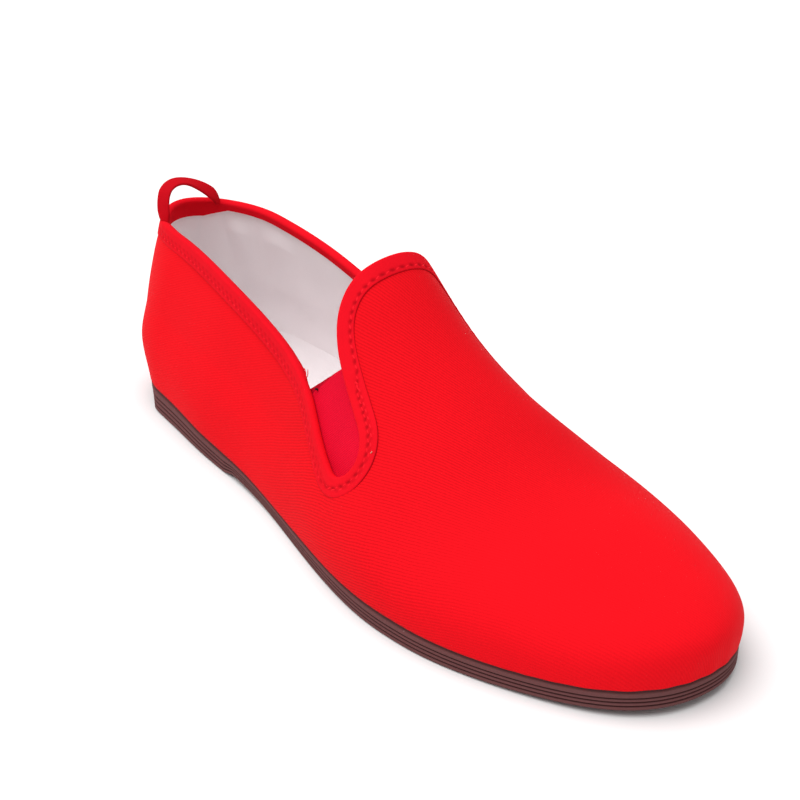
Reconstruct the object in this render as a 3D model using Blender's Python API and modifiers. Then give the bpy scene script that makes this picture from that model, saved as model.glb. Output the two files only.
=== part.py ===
"""Canvas slip-on shoe, the right one of a pair, as separate solids standing on its sole.

Metres, +Z up, toe along +X, the outer (lateral) side along -Y. Sizes below are in millimetres,
with the heel's back at x = 0 and the floor at z = 0, until the whole shoe is centred at the end.
"""
import bmesh
import bpy
import numpy as np
from mathutils import Vector
from mathutils.bvhtree import BVHTree

NAME = "canvas_slip_on_shoe"
MM = 0.001
LATERAL, MEDIAL = -1, 1

# Driving sizes
LENGTH = 270.0
WALL = 1.5
GAP = 0.35

# The last, a row for each section: place along the length, half widths to the lateral and
# medial side, height of the sole's top, height of the ridge, fullness of the wall and crown
LAST_COLUMNS = ("place", "lateral", "medial", "seat", "ridge", "wall", "crown")
LAST_ROWS = (
    (0.00, 31.5, 27.0, 8.5, 92.0, 1.45, 2.00),
    (0.06, 30.6, 29.4, 9.0, 93.0, 1.43, 2.00),
    (0.14, 30.9, 31.2, 9.3, 93.5, 1.38, 2.00),
    (0.26, 34.2, 32.8, 7.9, 93.0, 1.27, 2.00),
    (0.38, 36.1, 32.4, 5.8, 92.5, 1.19, 2.00),
    (0.46, 39.3, 35.4, 4.9, 90.5, 1.20, 2.00),
    (0.54, 43.9, 35.8, 5.2, 73.0, 1.45, 2.05),
    (0.62, 48.0, 38.2, 5.9, 57.3, 1.77, 2.10),
    (0.70, 49.8, 43.2, 6.3, 45.7, 2.08, 2.20),
    (0.78, 47.5, 44.0, 6.4, 37.2, 2.24, 2.30),
    (0.86, 43.7, 42.2, 6.6, 33.2, 2.31, 2.35),
    (0.93, 41.8, 42.8, 7.4, 30.4, 2.36, 2.40),
    (1.00, 42.8, 43.6, 9.0, 32.0, 2.40, 2.40),
)
HEEL_ROUND, HEEL_FULLNESS = 0.125, 2.00
TOE_ROUND, TOE_FULLNESS = 0.25, 2.15
TOE_DROP, TOE_DROP_FULLNESS, TOE_FRONT = 0.18, 2.2, 6.5
HEEL_REACH, HEEL_LEAN, HEEL_BULGE = 0.30, 4.4, 1.5
HEEL_FOOT, HEEL_TALL = 8.0, 67.0
HEEL_SET, HEEL_SET_TALL = 2.2, 18.0
HEEL_PINCH, PINCH_REACH, PINCH_ROUND = 6.5, 0.16, 15.0
SWELL, SWELL_TALL = 1.4, 26.0

# The edge of the canvas seen from the side, heel to tab, a row for each bend.
# It runs down the collar into the slot of the gore, round its foot and up the front tab.
# Columns: along, height
COLLAR_ROWS = ((0.0, 66.0), (35.0, 64.9), (70.0, 60.7), (100.0, 54.6), (120.0, 49.4), (130.0, 45.0))
SLOT_ROWS = ((138.0, 39.4), (145.0, 34.8), (151.5, 31.6), (157.5, 30.4),
             (162.8, 32.8), (164.8, 37.4), (162.4, 42.2), (156.2, 46.8))
TAB_ROWS = ((148.2, 52.1), (141.4, 57.4), (136.0, 62.8), (132.4, 68.4), (130.8, 74.0), (131.3, 80.0))
TAB_TOP = 133.4

# The sole's edge, top to bottom, a row for each bend of its band and ribs
# Columns: share of the height, how far it sets in
RIB_ROWS = ((0.00, 0.0), (0.36, 0.0), (0.40, 0.6), (0.44, 0.0), (0.54, 0.0), (0.58, 0.6), (0.62, 0.0),
            (0.73, 0.0), (0.77, 0.6), (0.81, 0.0), (0.95, 0.1), (1.00, 0.5))
BREAST, BREAST_RUN, BREAST_STEP, WAIST_CURVE = 86.0, 6.0, 1.7, 1.5
HEEL_TUCK, HEEL_TUCK_REACH = 5.8, 0.11
TREAD_START, SPRING_START, TOE_SPRING = 138.0, 206.0, 2.6
SOLE_STATIONS, STATION_CLEAR = 40, 0.25

INSOLE_THICK, INSOLE_STATIONS = 2.6, 30

TAPE_WIDTH, TAPE_THICK, TAPE_INNER = 5.5, 0.7, 4.5
TAPE_LIP, TAPE_FOLD, TAPE_CORNER = 0.6, 0.7, 0.5

GORE_MOUTH, GORE_FOOT = (134.6, 51.4), (160.2, 29.8)
GORE_HALF, GORE_MARGIN, GORE_THICK, GORE_SKEW = 9.0, 4.0, 0.9, 1.9
GORE_ROUND, GORE_END, GORE_ROWS, GORE_LANES = 3.5, 0.985, 10, 7
LIP_REACH, LIP_DEPTH, LIP_CLEAR = (-20.0, -12.0), (-9.0, -3.0), 0.45

# The pull loop's middle line across the heel, a row for each bend
# Columns: along, across, height, turn of the tape's width from the shoe's length in degrees
LOOP_ROWS = ((14.9, -14.2, 67.1, 25), (12.5, -13.6, 72.2, 25), (10.9, -11.2, 74.6, 18), (9.8, -7.4, 75.9, 12),
             (9.4, -3.4, 75.6, 14), (9.6, 0.6, 74.1, 28), (10.2, 4.6, 71.8, 45), (11.1, 8.4, 67.7, 58))
LOOP_WIDE, LOOP_THICK, LOOP_STATIONS = 5.0, 1.2, 22

# Meshing of the upper
QUARTER_COLUMNS, VAMP_COLUMNS, LOW_ROWS, EDGE_ROWS = 25, 17, 7, 20
EDGE_FINE, EDGE_BEND, VAMP_CROWDING, TOE_EVEN = 2000, 12.0, 1.3, 0.5
MERGE, SHARP_ANGLE = 0.01, 35.0

# Colour, roughness
FINISHES = {
    "outsole": ((0.115, 0.050, 0.046), 0.62),
    "insole": ((0.62, 0.59, 0.57), 0.90),
    "upper": ((0.80, 0.010, 0.014), 0.88),
    "gore_lateral": ((0.56, 0.008, 0.035), 0.80),
    "gore_medial": ((0.56, 0.008, 0.035), 0.80),
    "collar_binding": ((0.66, 0.008, 0.014), 0.80),
    "pull_loop": ((0.62, 0.008, 0.014), 0.80),
}


def spline(knots, values):
    """Natural cubic curve through the values, as a function of the knot."""
    knots = np.asarray(knots, float)
    values = np.asarray(values, float).reshape(len(knots), -1)
    step = np.diff(knots)[:, None]
    slope = np.diff(values, axis=0) / step
    count = len(knots)
    matrix = np.eye(count)
    right = np.zeros_like(values)
    for k in range(1, count - 1):
        matrix[k, k - 1:k + 2] = step[k - 1, 0], 2 * (step[k - 1, 0] + step[k, 0]), step[k, 0]
        right[k] = 6 * (slope[k] - slope[k - 1])
    bend = np.linalg.solve(matrix, right)

    def curve(place):
        place = np.asarray(place, float)
        k = np.clip(np.searchsorted(knots, place, side="right") - 1, 0, count - 2)
        run = step[k]
        ahead = (knots[k + 1] - place)[..., None]
        behind = (place - knots[k])[..., None]
        low, high = bend[k], bend[k + 1]
        value = (low * ahead ** 3 + high * behind ** 3) / (6 * run)
        value += (values[k] / run - low * run / 6) * ahead
        value += (values[k + 1] / run - high * run / 6) * behind
        return value[..., 0] if values.shape[1] == 1 else value

    return curve


def path_through(points):
    """Smooth path through points, spaced by their chords; returns the curve and its knots."""
    points = np.asarray(points, float)
    chords = np.linalg.norm(np.diff(points, axis=0), axis=1)
    knots = np.concatenate([[0.0], np.cumsum(chords)])
    return spline(knots, points), knots


LAST = {name: spline([row[0] for row in LAST_ROWS], [row[k] for row in LAST_ROWS])
        for k, name in enumerate(LAST_COLUMNS) if k}


def rounding(reach, fullness):
    """Share of the full width left at a reach (0 to 1) into a rounded end."""
    return np.maximum(1 - np.clip(reach, 0, 1) ** fullness, 0) ** (1 / fullness)


def half_width(place, side):
    """Half width of the plan at a place along the length."""
    full = LAST["lateral"](place) if side == LATERAL else LAST["medial"](place)
    heel = rounding(1 - place / HEEL_ROUND, HEEL_FULLNESS)
    toe = rounding((place - 1 + TOE_ROUND) / TOE_ROUND, TOE_FULLNESS)
    return full * heel * toe


def ridge_height(place):
    """Height of the last's ridge, dropping over the toe to a short upright front."""
    front = LAST["seat"](place) + TOE_FRONT
    drop = rounding((place - 1 + TOE_DROP) / TOE_DROP, TOE_DROP_FULLNESS)
    return front + (LAST["ridge"](place) - front) * drop


def swell_share(height):
    """Share of the wall's outward swell at a height above the seat."""
    return np.sin(np.pi * np.clip(height / SWELL_TALL, 0, 1))


def heel_low(above):
    """Share of the heel's set-in at a height above the seat."""
    return 0.5 + 0.5 * np.cos(np.pi * np.clip(above / HEEL_SET_TALL, 0, 1))


def end_shift(place, height):
    """Shift along the shoe: the heel's back sets in, bulges and leans, the toe swells over the sole."""
    tall = (height - HEEL_FOOT) / HEEL_TALL
    above = height - LAST["seat"](place)
    back = HEEL_LEAN * tall ** 2 - 4 * HEEL_BULGE * tall * (1 - tall)
    back = back + HEEL_SET * heel_low(above)
    toe = SWELL * swell_share(above)
    near_heel = np.clip(1 - place / HEEL_REACH, 0, 1) ** 2
    near_toe = np.clip((place - 1 + TOE_ROUND) / TOE_ROUND, 0, 1) ** 2
    return near_heel * back + near_toe * toe


def turn_at(place, height):
    """Turn round the section (0 at the seat, 1 at the ridge) of a height on the wall."""
    seat = LAST["seat"](place)
    share = np.clip((height - seat) / (ridge_height(place) - seat), 0, 1)
    return np.arcsin(share ** (LAST["wall"](place) / 2)) * 2 / np.pi


def skin(place, turn, side):
    """Point of the shoe's outer surface."""
    place, turn = np.broadcast_arrays(np.asarray(place, float), np.asarray(turn, float))
    angle = turn * np.pi / 2
    seat = LAST["seat"](place)
    height = seat + (ridge_height(place) - seat) * np.sin(angle) ** (2 / LAST["wall"](place))
    wide = half_width(place, side)
    pinch = HEEL_PINCH * heel_low(height - seat) * np.clip(1 - place / PINCH_REACH, 0, 1) ** 2
    swell = SWELL * swell_share(height - seat)
    wide = wide + swell * wide / (wide + SWELL) - pinch * wide ** 2 / (wide ** 2 + PINCH_ROUND ** 2)
    across = side * wide * np.maximum(np.cos(angle), 0) ** (2 / LAST["crown"](place))
    return np.stack([place * LENGTH + end_shift(place, height), across, height], axis=-1)


def even(points, count, bend=0.0, values=None):
    """Values along a line at even steps, closer together where the line bends."""
    steps = np.diff(points, axis=0)
    lengths = np.linalg.norm(steps, axis=1)
    ways = steps / lengths[:, None]
    turns = np.linalg.norm(np.diff(ways, axis=0, append=ways[-1:]), axis=1)
    run = np.concatenate([[0.0], np.cumsum(lengths + bend * turns)])
    stops = np.linspace(0, run[-1], count)
    values = points if values is None else values
    return np.stack([np.interp(stops, run, column) for column in values.T], axis=-1)


edge_curve, edge_knots = path_through(
    COLLAR_ROWS + SLOT_ROWS + TAB_ROWS + ((TAB_TOP, float(ridge_height(TAB_TOP / LENGTH))),))
SLOT_FOOT = edge_knots[len(COLLAR_ROWS) + SLOT_ROWS.index(min(SLOT_ROWS, key=lambda row: row[1]))]


def edge_stations(start, stop, count):
    """Places and turns along the canvas edge between two runs of it, even in space."""
    sweep = 0.5 - 0.5 * np.cos(np.linspace(0, np.pi, EDGE_FINE))
    line = edge_curve(start + (stop - start) * sweep)
    place = line[:, 0] / LENGTH
    turn = turn_at(place, line[:, 1])
    spots = skin(place, turn, LATERAL)
    return even(spots, count + 1, EDGE_BEND, np.column_stack([place, turn]))


COLLAR_EDGE = edge_stations(0.0, SLOT_FOOT, QUARTER_COLUMNS)
TAB_EDGE = edge_stations(SLOT_FOOT, edge_knots[-1], EDGE_ROWS)


class Skin:
    """Outer surface as a fine mesh, to find the nearest point and the way out of it."""

    COLUMNS, ROWS = 220, 141

    def __init__(self):
        place = 0.5 - 0.5 * np.cos(np.linspace(0, np.pi, self.COLUMNS))[:, None]
        turn = np.linspace(0, 2, self.ROWS)[None]
        near = skin(place, np.minimum(turn, 1), LATERAL)
        far = skin(place, np.minimum(2 - turn, 1), MEDIAL)
        grid = np.where((turn < 1)[..., None], near, far)
        faces = []
        for i in range(self.COLUMNS - 1):
            for j in range(self.ROWS - 1):
                corner = i * self.ROWS + j
                faces.append((corner, corner + self.ROWS, corner + self.ROWS + 1, corner + 1))
        self.tree = BVHTree.FromPolygons(grid.reshape(-1, 3).tolist(), faces)

    def nearest(self, point):
        spot, way, _, _ = self.tree.find_nearest(Vector(point))
        return np.array(spot), np.array(way)

    def offset(self, point, out):
        """Nearest point of the surface, moved out along its normal."""
        spot, way = self.nearest(point)
        return spot + out * way


def mesh_object(name, vertices, faces, collection, closed=True):
    """Mesh object in metres from points in millimetres, with equal points merged."""
    mesh = bpy.data.meshes.new(name)
    mesh.from_pydata((np.asarray(vertices) * MM).tolist(), [], faces)
    shape = bmesh.new()
    shape.from_mesh(mesh)
    bmesh.ops.remove_doubles(shape, verts=shape.verts, dist=MERGE * MM)
    if closed:
        bmesh.ops.recalc_face_normals(shape, faces=shape.faces)
    shape.to_mesh(mesh)
    shape.free()
    mesh.shade_smooth()
    mesh.set_sharp_from_angle(angle=np.radians(SHARP_ANGLE))
    item = bpy.data.objects.new(name, mesh)
    collection.objects.link(item)
    colour, roughness = FINISHES[name]
    material = bpy.data.materials.new(name)
    material.use_nodes = True
    shader = material.node_tree.nodes["Principled BSDF"]
    shader.inputs["Base Color"].default_value = (*colour, 1.0)
    shader.inputs["Roughness"].default_value = roughness
    shader.inputs["Metallic"].default_value = 0.0
    mesh.materials.append(material)
    return item


def grid_faces(rows, columns, start=0, closed=False, flip=False):
    """Quads of a grid of points stored row by row."""
    faces = []
    for i in range(rows - 1):
        for j in range(columns if closed else columns - 1):
            k = (j + 1) % columns
            faces.append((start + i * columns + j, start + i * columns + k,
                          start + (i + 1) * columns + k, start + (i + 1) * columns + j))
    return [face[::-1] for face in faces] if flip else faces


def thicken(item, thickness, offset):
    """Solid wall from an open surface; offset -1 keeps the surface as the outer face."""
    shell = item.modifiers.new("wall", "SOLIDIFY")
    shell.thickness = thickness * MM
    shell.offset = offset
    shell.use_even_offset = True
    return shell


def stations(count, extra=()):
    """Places along the length, closer at both ends, with any extra ones put in."""
    places = 0.5 - 0.5 * np.cos(np.linspace(0, np.pi, count))
    keep = [p for p in places if all(abs(p - q) > STATION_CLEAR / count for q in extra)]
    return np.array(sorted([*keep, *extra]))


def outline(places):
    """Plan of the sole: up the lateral side from heel to toe and back down the medial side."""
    lateral, medial = (skin(places, 0.0, side)[:, :2] for side in (LATERAL, MEDIAL))
    return np.concatenate([lateral, medial[1:-1][::-1]])


def set_in(loop, distance):
    """Plan moved in square to itself."""
    ahead = np.roll(loop, -1, axis=0) - np.roll(loop, 1, axis=0)
    ahead = ahead / np.linalg.norm(ahead, axis=1)[:, None]
    return loop + np.asarray(distance)[..., None] * np.stack([-ahead[:, 1], ahead[:, 0]], axis=-1)


def strip_cap(count, start, flip):
    """Faces across a plan loop, from its lateral side to its medial side."""
    loop_size = 2 * count - 2
    faces = []
    for k in range(count - 1):
        pair = [k, k + 1, (loop_size - k - 1) % loop_size, (loop_size - k) % loop_size]
        ring = list(dict.fromkeys(start + p for p in pair))
        faces.append(tuple(ring[::-1] if flip else ring))
    return faces


def tread_height(along):
    """Underside of the sole: flat heel, breast, waist, flat forefoot and toe spring."""
    ramp = np.clip((along - BREAST) / BREAST_RUN, 0, 1)
    share = np.clip((TREAD_START - along) / (TREAD_START - BREAST - BREAST_RUN), 0, 1)
    spring = TOE_SPRING * np.clip((along - SPRING_START) / (LENGTH - SPRING_START), 0, 1) ** 2
    return BREAST_STEP * ramp * share ** WAIST_CURVE + spring


def make_outsole(collection):
    """Rubber sole: ribbed edge all round, closed by its seat above and its tread below."""
    breast = (BREAST / LENGTH, (BREAST + BREAST_RUN) / LENGTH)
    places = stations(SOLE_STATIONS, (*breast, TREAD_START / LENGTH, SPRING_START / LENGTH))
    loop = outline(places)
    along = np.clip(loop[:, 0] / LENGTH, 0, 1)
    top, bottom = LAST["seat"](along), tread_height(loop[:, 0])
    points = []
    for share, inset in RIB_ROWS:
        tuck = HEEL_TUCK * share * np.clip(1 - along / HEEL_TUCK_REACH, 0, 1)
        plan = set_in(loop, inset + tuck)
        points.append(np.column_stack([plan, top + (bottom - top) * share]))
    rows, columns = len(RIB_ROWS), len(loop)
    faces = grid_faces(rows, columns, closed=True)
    faces += strip_cap(len(places), 0, False)
    faces += strip_cap(len(places), (rows - 1) * columns, True)
    return mesh_object("outsole", np.concatenate(points), faces, collection)


def make_insole(collection):
    """Thin sock plate on the sole, clear of the upper's wall."""
    places = stations(INSOLE_STATIONS)
    loop = set_in(outline(places), np.full(2 * INSOLE_STATIONS - 2, WALL + 2 * GAP))
    seat = LAST["seat"](np.clip(loop[:, 0] / LENGTH, 0, 1)) + GAP
    points = [np.column_stack([loop, seat + INSOLE_THICK]), np.column_stack([loop, seat])]
    faces = grid_faces(2, len(loop), closed=True)
    faces += strip_cap(INSOLE_STATIONS, 0, False)
    faces += strip_cap(INSOLE_STATIONS, len(loop), True)
    return mesh_object("insole", np.concatenate(points), faces, collection)


def quarter_grid(side):
    """Quarter from the heel's back to the foot of the slot, from the sole up to the collar."""
    place, edge_turn = COLLAR_EDGE.T
    seat = LAST["seat"](place)
    top = skin(place, edge_turn, side)[:, 2]
    share = np.linspace(0, 1, LOW_ROWS + 1)[:, None]
    return skin(place, turn_at(place, seat + GAP + (top - seat - GAP) * share), side)


def vamp_grid(side):
    """Vamp from the slot and the tab's edge forward to the toe, from the sole up to the ridge."""
    foot_place, foot_turn = TAB_EDGE[0]
    seat = float(LAST["seat"](foot_place))
    top = skin(foot_place, foot_turn, side)[2]
    low_turn = turn_at(foot_place, np.linspace(seat + GAP, top, LOW_ROWS + 1)[:-1])
    start = np.concatenate([np.full(LOW_ROWS, foot_place), TAB_EDGE[:, 0]])[:, None]
    turn = np.concatenate([low_turn, TAB_EDGE[:, 1]])[:, None]
    rank = np.linspace(0, 1, len(start))[:, None]
    toe_wall = float(LAST["wall"](1.0))
    toe_turn = TOE_EVEN * rank + (1 - TOE_EVEN) * np.arcsin(rank ** (toe_wall / 2)) * 2 / np.pi
    sweep = np.linspace(0, 1, VAMP_COLUMNS + 1)[None]
    place = start + (1 - start) * np.sin(sweep ** VAMP_CROWDING * np.pi / 2)
    turn = turn + (toe_turn - turn) * sweep * sweep * (3 - 2 * sweep)
    turn = np.maximum(turn, turn_at(place, LAST["seat"](place) + GAP))
    return skin(place, turn, side)


def make_upper(collection):
    """Canvas upper: both quarters and the vamp as one surface, given its wall inwards."""
    vertices, faces = [], []
    for side in (LATERAL, MEDIAL):
        for grid in (quarter_grid(side), vamp_grid(side)):
            rows, columns = grid.shape[:2]
            faces += grid_faces(rows, columns, sum(len(v) for v in vertices), flip=side == MEDIAL)
            vertices.append(grid.reshape(-1, 3))
    item = mesh_object("upper", np.concatenate(vertices), faces, collection, closed=False)
    thicken(item, WALL, -1.0)
    return item


def edge_loop():
    """The whole canvas edge in space: heel, lateral side, tab, medial side and back."""
    place, turn = np.concatenate([COLLAR_EDGE, TAB_EDGE[1:]]).T
    lateral, medial = skin(place, turn, LATERAL), skin(place, turn, MEDIAL)
    return np.concatenate([lateral, medial[::-1][1:-1]])


def lip_shares(point):
    """How far the tape folds in behind the canvas and how deep, from 0 along the gore to 1 past it."""
    mouth, foot = np.array(GORE_MOUTH), np.array(GORE_FOOT)
    axis = (foot - mouth) / np.linalg.norm(foot - mouth)
    run = float((point[[0, 2]] - mouth) @ axis)
    if point[0] < GORE_MOUTH[0] / 2:
        return 1.0, 1.0
    return [float(np.clip((none - run) / (none - full), 0, 1)) for full, none in (LIP_REACH, LIP_DEPTH)]


def tape_section(reach, depth):
    """Section of the tape: how far onto the canvas and how far out of its surface."""
    fold = GAP + TAPE_THICK
    inner_out = -WALL - depth * fold
    inner_in = -WALL + (1 - depth) * TAPE_THICK - depth * GAP
    inner_end = reach * TAPE_INNER - (1 - reach) * LIP_CLEAR
    return ((TAPE_WIDTH, GAP), (TAPE_WIDTH, GAP + TAPE_LIP * TAPE_THICK), (TAPE_WIDTH - TAPE_THICK, fold),
            (0.0, fold), (-fold, 0.0), (-fold, inner_out + TAPE_CORNER * TAPE_THICK),
            (-TAPE_FOLD * fold, inner_out), (inner_end, inner_out), (inner_end, inner_in),
            (-GAP, inner_in), (-GAP, GAP))


def make_binding(surface, collection):
    """Tape folded over the canvas edge all the way round."""
    loop = edge_loop()
    ahead = np.roll(loop, -1, axis=0) - np.roll(loop, 1, axis=0)
    vertices = []
    for point, way in zip(loop, ahead):
        spot, out = surface.nearest(point)
        onto = np.cross(way, out)
        onto = onto / np.linalg.norm(onto)
        for reach, lift in tape_section(*lip_shares(point)):
            if reach > 0:
                vertices.append(surface.offset(spot + onto * reach, lift))
            else:
                vertices.append(spot + onto * reach + out * lift)
    size = len(vertices) // len(loop)
    faces = grid_faces(len(loop), size, closed=True)
    last = len(vertices) - size
    faces += [(last + j, last + (j + 1) % size, (j + 1) % size, j) for j in range(size)]
    return mesh_object("collar_binding", np.array(vertices), faces, collection)


def make_gore(name, side, surface, collection):
    """Elastic panel behind the slot, its margins hidden behind the canvas."""
    mouth, foot = np.array(GORE_MOUTH), np.array(GORE_FOOT)
    axis = foot - mouth
    length = np.linalg.norm(axis)
    axis = axis / length
    across = np.array([-axis[1], axis[0]])
    vertices = []
    for run in np.linspace(0, GORE_END, GORE_ROWS):
        half = (GORE_HALF + GORE_MARGIN) * (1 - run ** GORE_ROUND) ** (1 / GORE_ROUND)
        for lane in np.linspace(-1, 1, GORE_LANES):
            down = run * (length + GORE_MARGIN) + GORE_SKEW * lane * (1 - run)
            flat = mouth + axis * down + across * lane * half
            place = flat[0] / LENGTH
            point = skin(place, turn_at(place, flat[1]), side)
            vertices.append(surface.offset(point, -WALL - GAP))
    faces = grid_faces(GORE_ROWS, GORE_LANES, flip=side == LATERAL)
    item = mesh_object(name, np.array(vertices), faces, collection, closed=False)
    thicken(item, GORE_THICK, -1.0)
    return item


def make_pull_loop(collection):
    """Tape arched over the heel, its flat width turning from the shoe's length towards its feet."""
    rows = np.asarray(LOOP_ROWS)
    curve, knots = path_through(rows[:, :3])
    run = np.linspace(0, knots[-1], EDGE_FINE)
    lie = spline(knots, np.radians(rows[:, 3]))(run)
    stops = even(curve(run), LOOP_STATIONS, EDGE_BEND, np.column_stack([curve(run), lie]))
    line, lie = stops[:, :3], stops[:, 3:]
    along = np.array([1.0, 0.0, 0.0])
    square = np.cross(np.gradient(line, axis=0), along)
    square = square / np.linalg.norm(square, axis=1)[:, None]
    half = LOOP_WIDE / 2 * (np.cos(lie) * along + np.sin(lie) * square)
    vertices = np.stack([line - half, line, line + half], axis=1).reshape(-1, 3)
    item = mesh_object("pull_loop", vertices, grid_faces(LOOP_STATIONS, 3), collection, closed=False)
    thicken(item, LOOP_THICK, 0.0)
    return item


def centre(items, collection):
    """Stand the shoe on the origin: middle of its box in plan, floor at zero."""
    depsgraph = bpy.context.evaluated_depsgraph_get()
    corners = []
    for item in items:
        mesh = item.evaluated_get(depsgraph).data
        corners += [tuple(vertex.co) for vertex in mesh.vertices]
    low, high = np.min(corners, axis=0), np.max(corners, axis=0)
    base = bpy.data.objects.new(NAME + "_base", None)
    collection.objects.link(base)
    base.location = (-(low[0] + high[0]) / 2, -(low[1] + high[1]) / 2, -low[2])
    for item in items:
        item.parent = base


def main():
    for item in list(bpy.data.objects):
        bpy.data.objects.remove(item)
    collection = bpy.data.collections.new(NAME)
    bpy.context.scene.collection.children.link(collection)
    surface = Skin()
    items = [
        make_outsole(collection),
        make_insole(collection),
        make_upper(collection),
        make_gore("gore_lateral", LATERAL, surface, collection),
        make_gore("gore_medial", MEDIAL, surface, collection),
        make_binding(surface, collection),
        make_pull_loop(collection),
    ]
    centre(items, collection)


main()
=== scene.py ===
"""Looks of a red canvas slip-on shoe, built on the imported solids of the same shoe.

Shapes are worked out in millimetres with the heel's back at x = 0, the toe along +X, the outer
side along -Y and the floor at z = 0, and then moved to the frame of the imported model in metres.
"""

import bmesh
import bpy
import numpy as np
from bpy.props import FloatProperty, FloatVectorProperty, PointerProperty
from bpy.types import Operator, Panel, PropertyGroup
from mathutils import Matrix, Vector
from mathutils.bvhtree import BVHTree


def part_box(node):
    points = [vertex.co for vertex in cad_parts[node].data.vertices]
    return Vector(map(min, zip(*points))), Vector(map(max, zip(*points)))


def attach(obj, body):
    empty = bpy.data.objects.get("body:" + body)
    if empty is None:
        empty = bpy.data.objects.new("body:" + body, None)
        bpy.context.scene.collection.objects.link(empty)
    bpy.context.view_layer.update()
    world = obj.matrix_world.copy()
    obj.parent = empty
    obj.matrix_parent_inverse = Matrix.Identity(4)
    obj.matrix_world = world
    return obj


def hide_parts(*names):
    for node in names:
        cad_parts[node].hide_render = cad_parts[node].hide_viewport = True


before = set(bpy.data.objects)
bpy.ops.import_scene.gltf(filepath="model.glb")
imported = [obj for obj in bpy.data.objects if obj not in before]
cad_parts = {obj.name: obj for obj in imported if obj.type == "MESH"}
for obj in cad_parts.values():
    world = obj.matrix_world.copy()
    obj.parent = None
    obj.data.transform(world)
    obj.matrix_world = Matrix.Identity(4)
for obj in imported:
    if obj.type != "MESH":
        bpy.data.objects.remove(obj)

bl_info = {
    "name": "Canvas Slip-on Shoe",
    "version": (1, 0, 0),
    "blender": (4, 5, 0),
    "location": "View3D > Sidebar > Slip-on",
    "description": "Builds the canvas, tape, elastic, lining and sole of a slip-on shoe",
    "category": "Object",
}

BODY = "root"
MM = 0.001
LATERAL, MEDIAL = -1, 1
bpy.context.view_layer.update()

# Driving sizes of the solids
LENGTH = 270.0
WALL = 1.5

# The last, a row for each section: place along the length, half widths to the lateral and
# medial side, height of the sole's top, height of the ridge, fullness of the wall and crown
LAST_COLUMNS = ("place", "lateral", "medial", "seat", "ridge", "wall", "crown")
LAST_ROWS = (
    (0.00, 31.5, 27.0, 8.5, 92.0, 1.45, 2.00),
    (0.06, 30.6, 29.4, 9.0, 93.0, 1.43, 2.00),
    (0.14, 30.9, 31.2, 9.3, 93.5, 1.38, 2.00),
    (0.26, 34.2, 32.8, 7.9, 93.0, 1.27, 2.00),
    (0.38, 36.1, 32.4, 5.8, 92.5, 1.19, 2.00),
    (0.46, 39.3, 35.4, 4.9, 90.5, 1.20, 2.00),
    (0.54, 43.9, 35.8, 5.2, 73.0, 1.45, 2.05),
    (0.62, 48.0, 38.2, 5.9, 57.3, 1.77, 2.10),
    (0.70, 49.8, 43.2, 6.3, 45.7, 2.08, 2.20),
    (0.78, 47.5, 44.0, 6.4, 37.2, 2.24, 2.30),
    (0.86, 43.7, 42.2, 6.6, 33.2, 2.31, 2.35),
    (0.93, 41.8, 42.8, 7.4, 30.4, 2.36, 2.40),
    (1.00, 42.8, 43.6, 9.0, 32.0, 2.40, 2.40),
)
HEEL_ROUND, HEEL_FULLNESS = 0.125, 2.00
TOE_ROUND, TOE_FULLNESS = 0.25, 2.15
TOE_DROP, TOE_DROP_FULLNESS, TOE_FRONT = 0.18, 2.2, 6.5
HEEL_REACH, HEEL_LEAN, HEEL_BULGE = 0.30, 4.4, 1.5
HEEL_FOOT, HEEL_TALL = 8.0, 67.0
HEEL_SET, HEEL_SET_TALL = 2.2, 18.0
HEEL_PINCH, PINCH_REACH, PINCH_ROUND = 6.5, 0.16, 15.0
SWELL, SWELL_TALL = 1.4, 26.0

# The edge of the canvas seen from the side, heel to tab, a row for each bend
# Columns: along, height
COLLAR_ROWS = ((0.0, 66.0), (35.0, 64.9), (70.0, 60.7), (100.0, 54.6), (120.0, 49.4), (130.0, 45.0))
SLOT_ROWS = ((138.0, 39.4), (145.0, 34.8), (151.5, 31.6), (157.5, 30.4),
             (162.8, 32.8), (164.8, 37.4), (162.4, 42.2), (156.2, 46.8))
TAB_ROWS = ((148.2, 52.1), (141.4, 57.4), (136.0, 62.8), (132.4, 68.4), (130.8, 74.0), (131.3, 80.0))
TAB_TOP = 133.4

# The sole: its heel, waist, toe spring and the grooves round its edge
BREAST, BREAST_RUN, BREAST_STEP, WAIST_CURVE = 86.0, 6.0, 1.7, 1.5
HEEL_TUCK, HEEL_TUCK_REACH = 5.8, 0.11
TREAD_START, SPRING_START, TOE_SPRING = 138.0, 206.0, 2.6
GROOVE_SHARES, GROOVE_HALF = (0.40, 0.58, 0.77), 0.035
WELT_SHARES, WELT_DEPTH = (0.11, 0.19), 0.45
FOOT_SHARES, FOOT_ROUND = (0.9, 0.1), 0.6
SOLE_STATIONS, EDGE_SHARES, TREAD_LANES = 300, 64, 25

# The insole's rim, a row for each bend from its underside up the lining and back to its top
# Columns: how far it sets in, rise over its underside
INSOLE_RIM = ((2.4, 0.0), (1.6, 0.5), (1.4, 2.0), (0.6, 6.6), (1.3, 5.6),
              (2.4, 4.5), (4.2, 3.5), (7.0, 2.9), (10.5, 2.6))
# The insole is the lining's cloth a little darker, as painted shade
INSOLE_RISE, INSOLE_STATIONS, INSOLE_LANES, INSOLE_SHADE = 0.35, 120, 21, 0.96
LINING_YARN, INSOLE_YARN = 0.0007, 0.0009

# The tape's fold and the places where its inner half stops beside the elastic
TAPE_INNER, HEEL_INNER, TAPE_STATIONS, TAPE_LANES = 2.4, 5.6, (300, 200), 18
HEEL_INNER_RUN = (-30.0, -20.0, 7.0, 17.0)
LIP_REACH, LIP_DEPTH, LIP_CLEAR, FOLD_CLEAR = (-20.0, -12.0), (-9.0, -3.0), 0.25, 0.12

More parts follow.
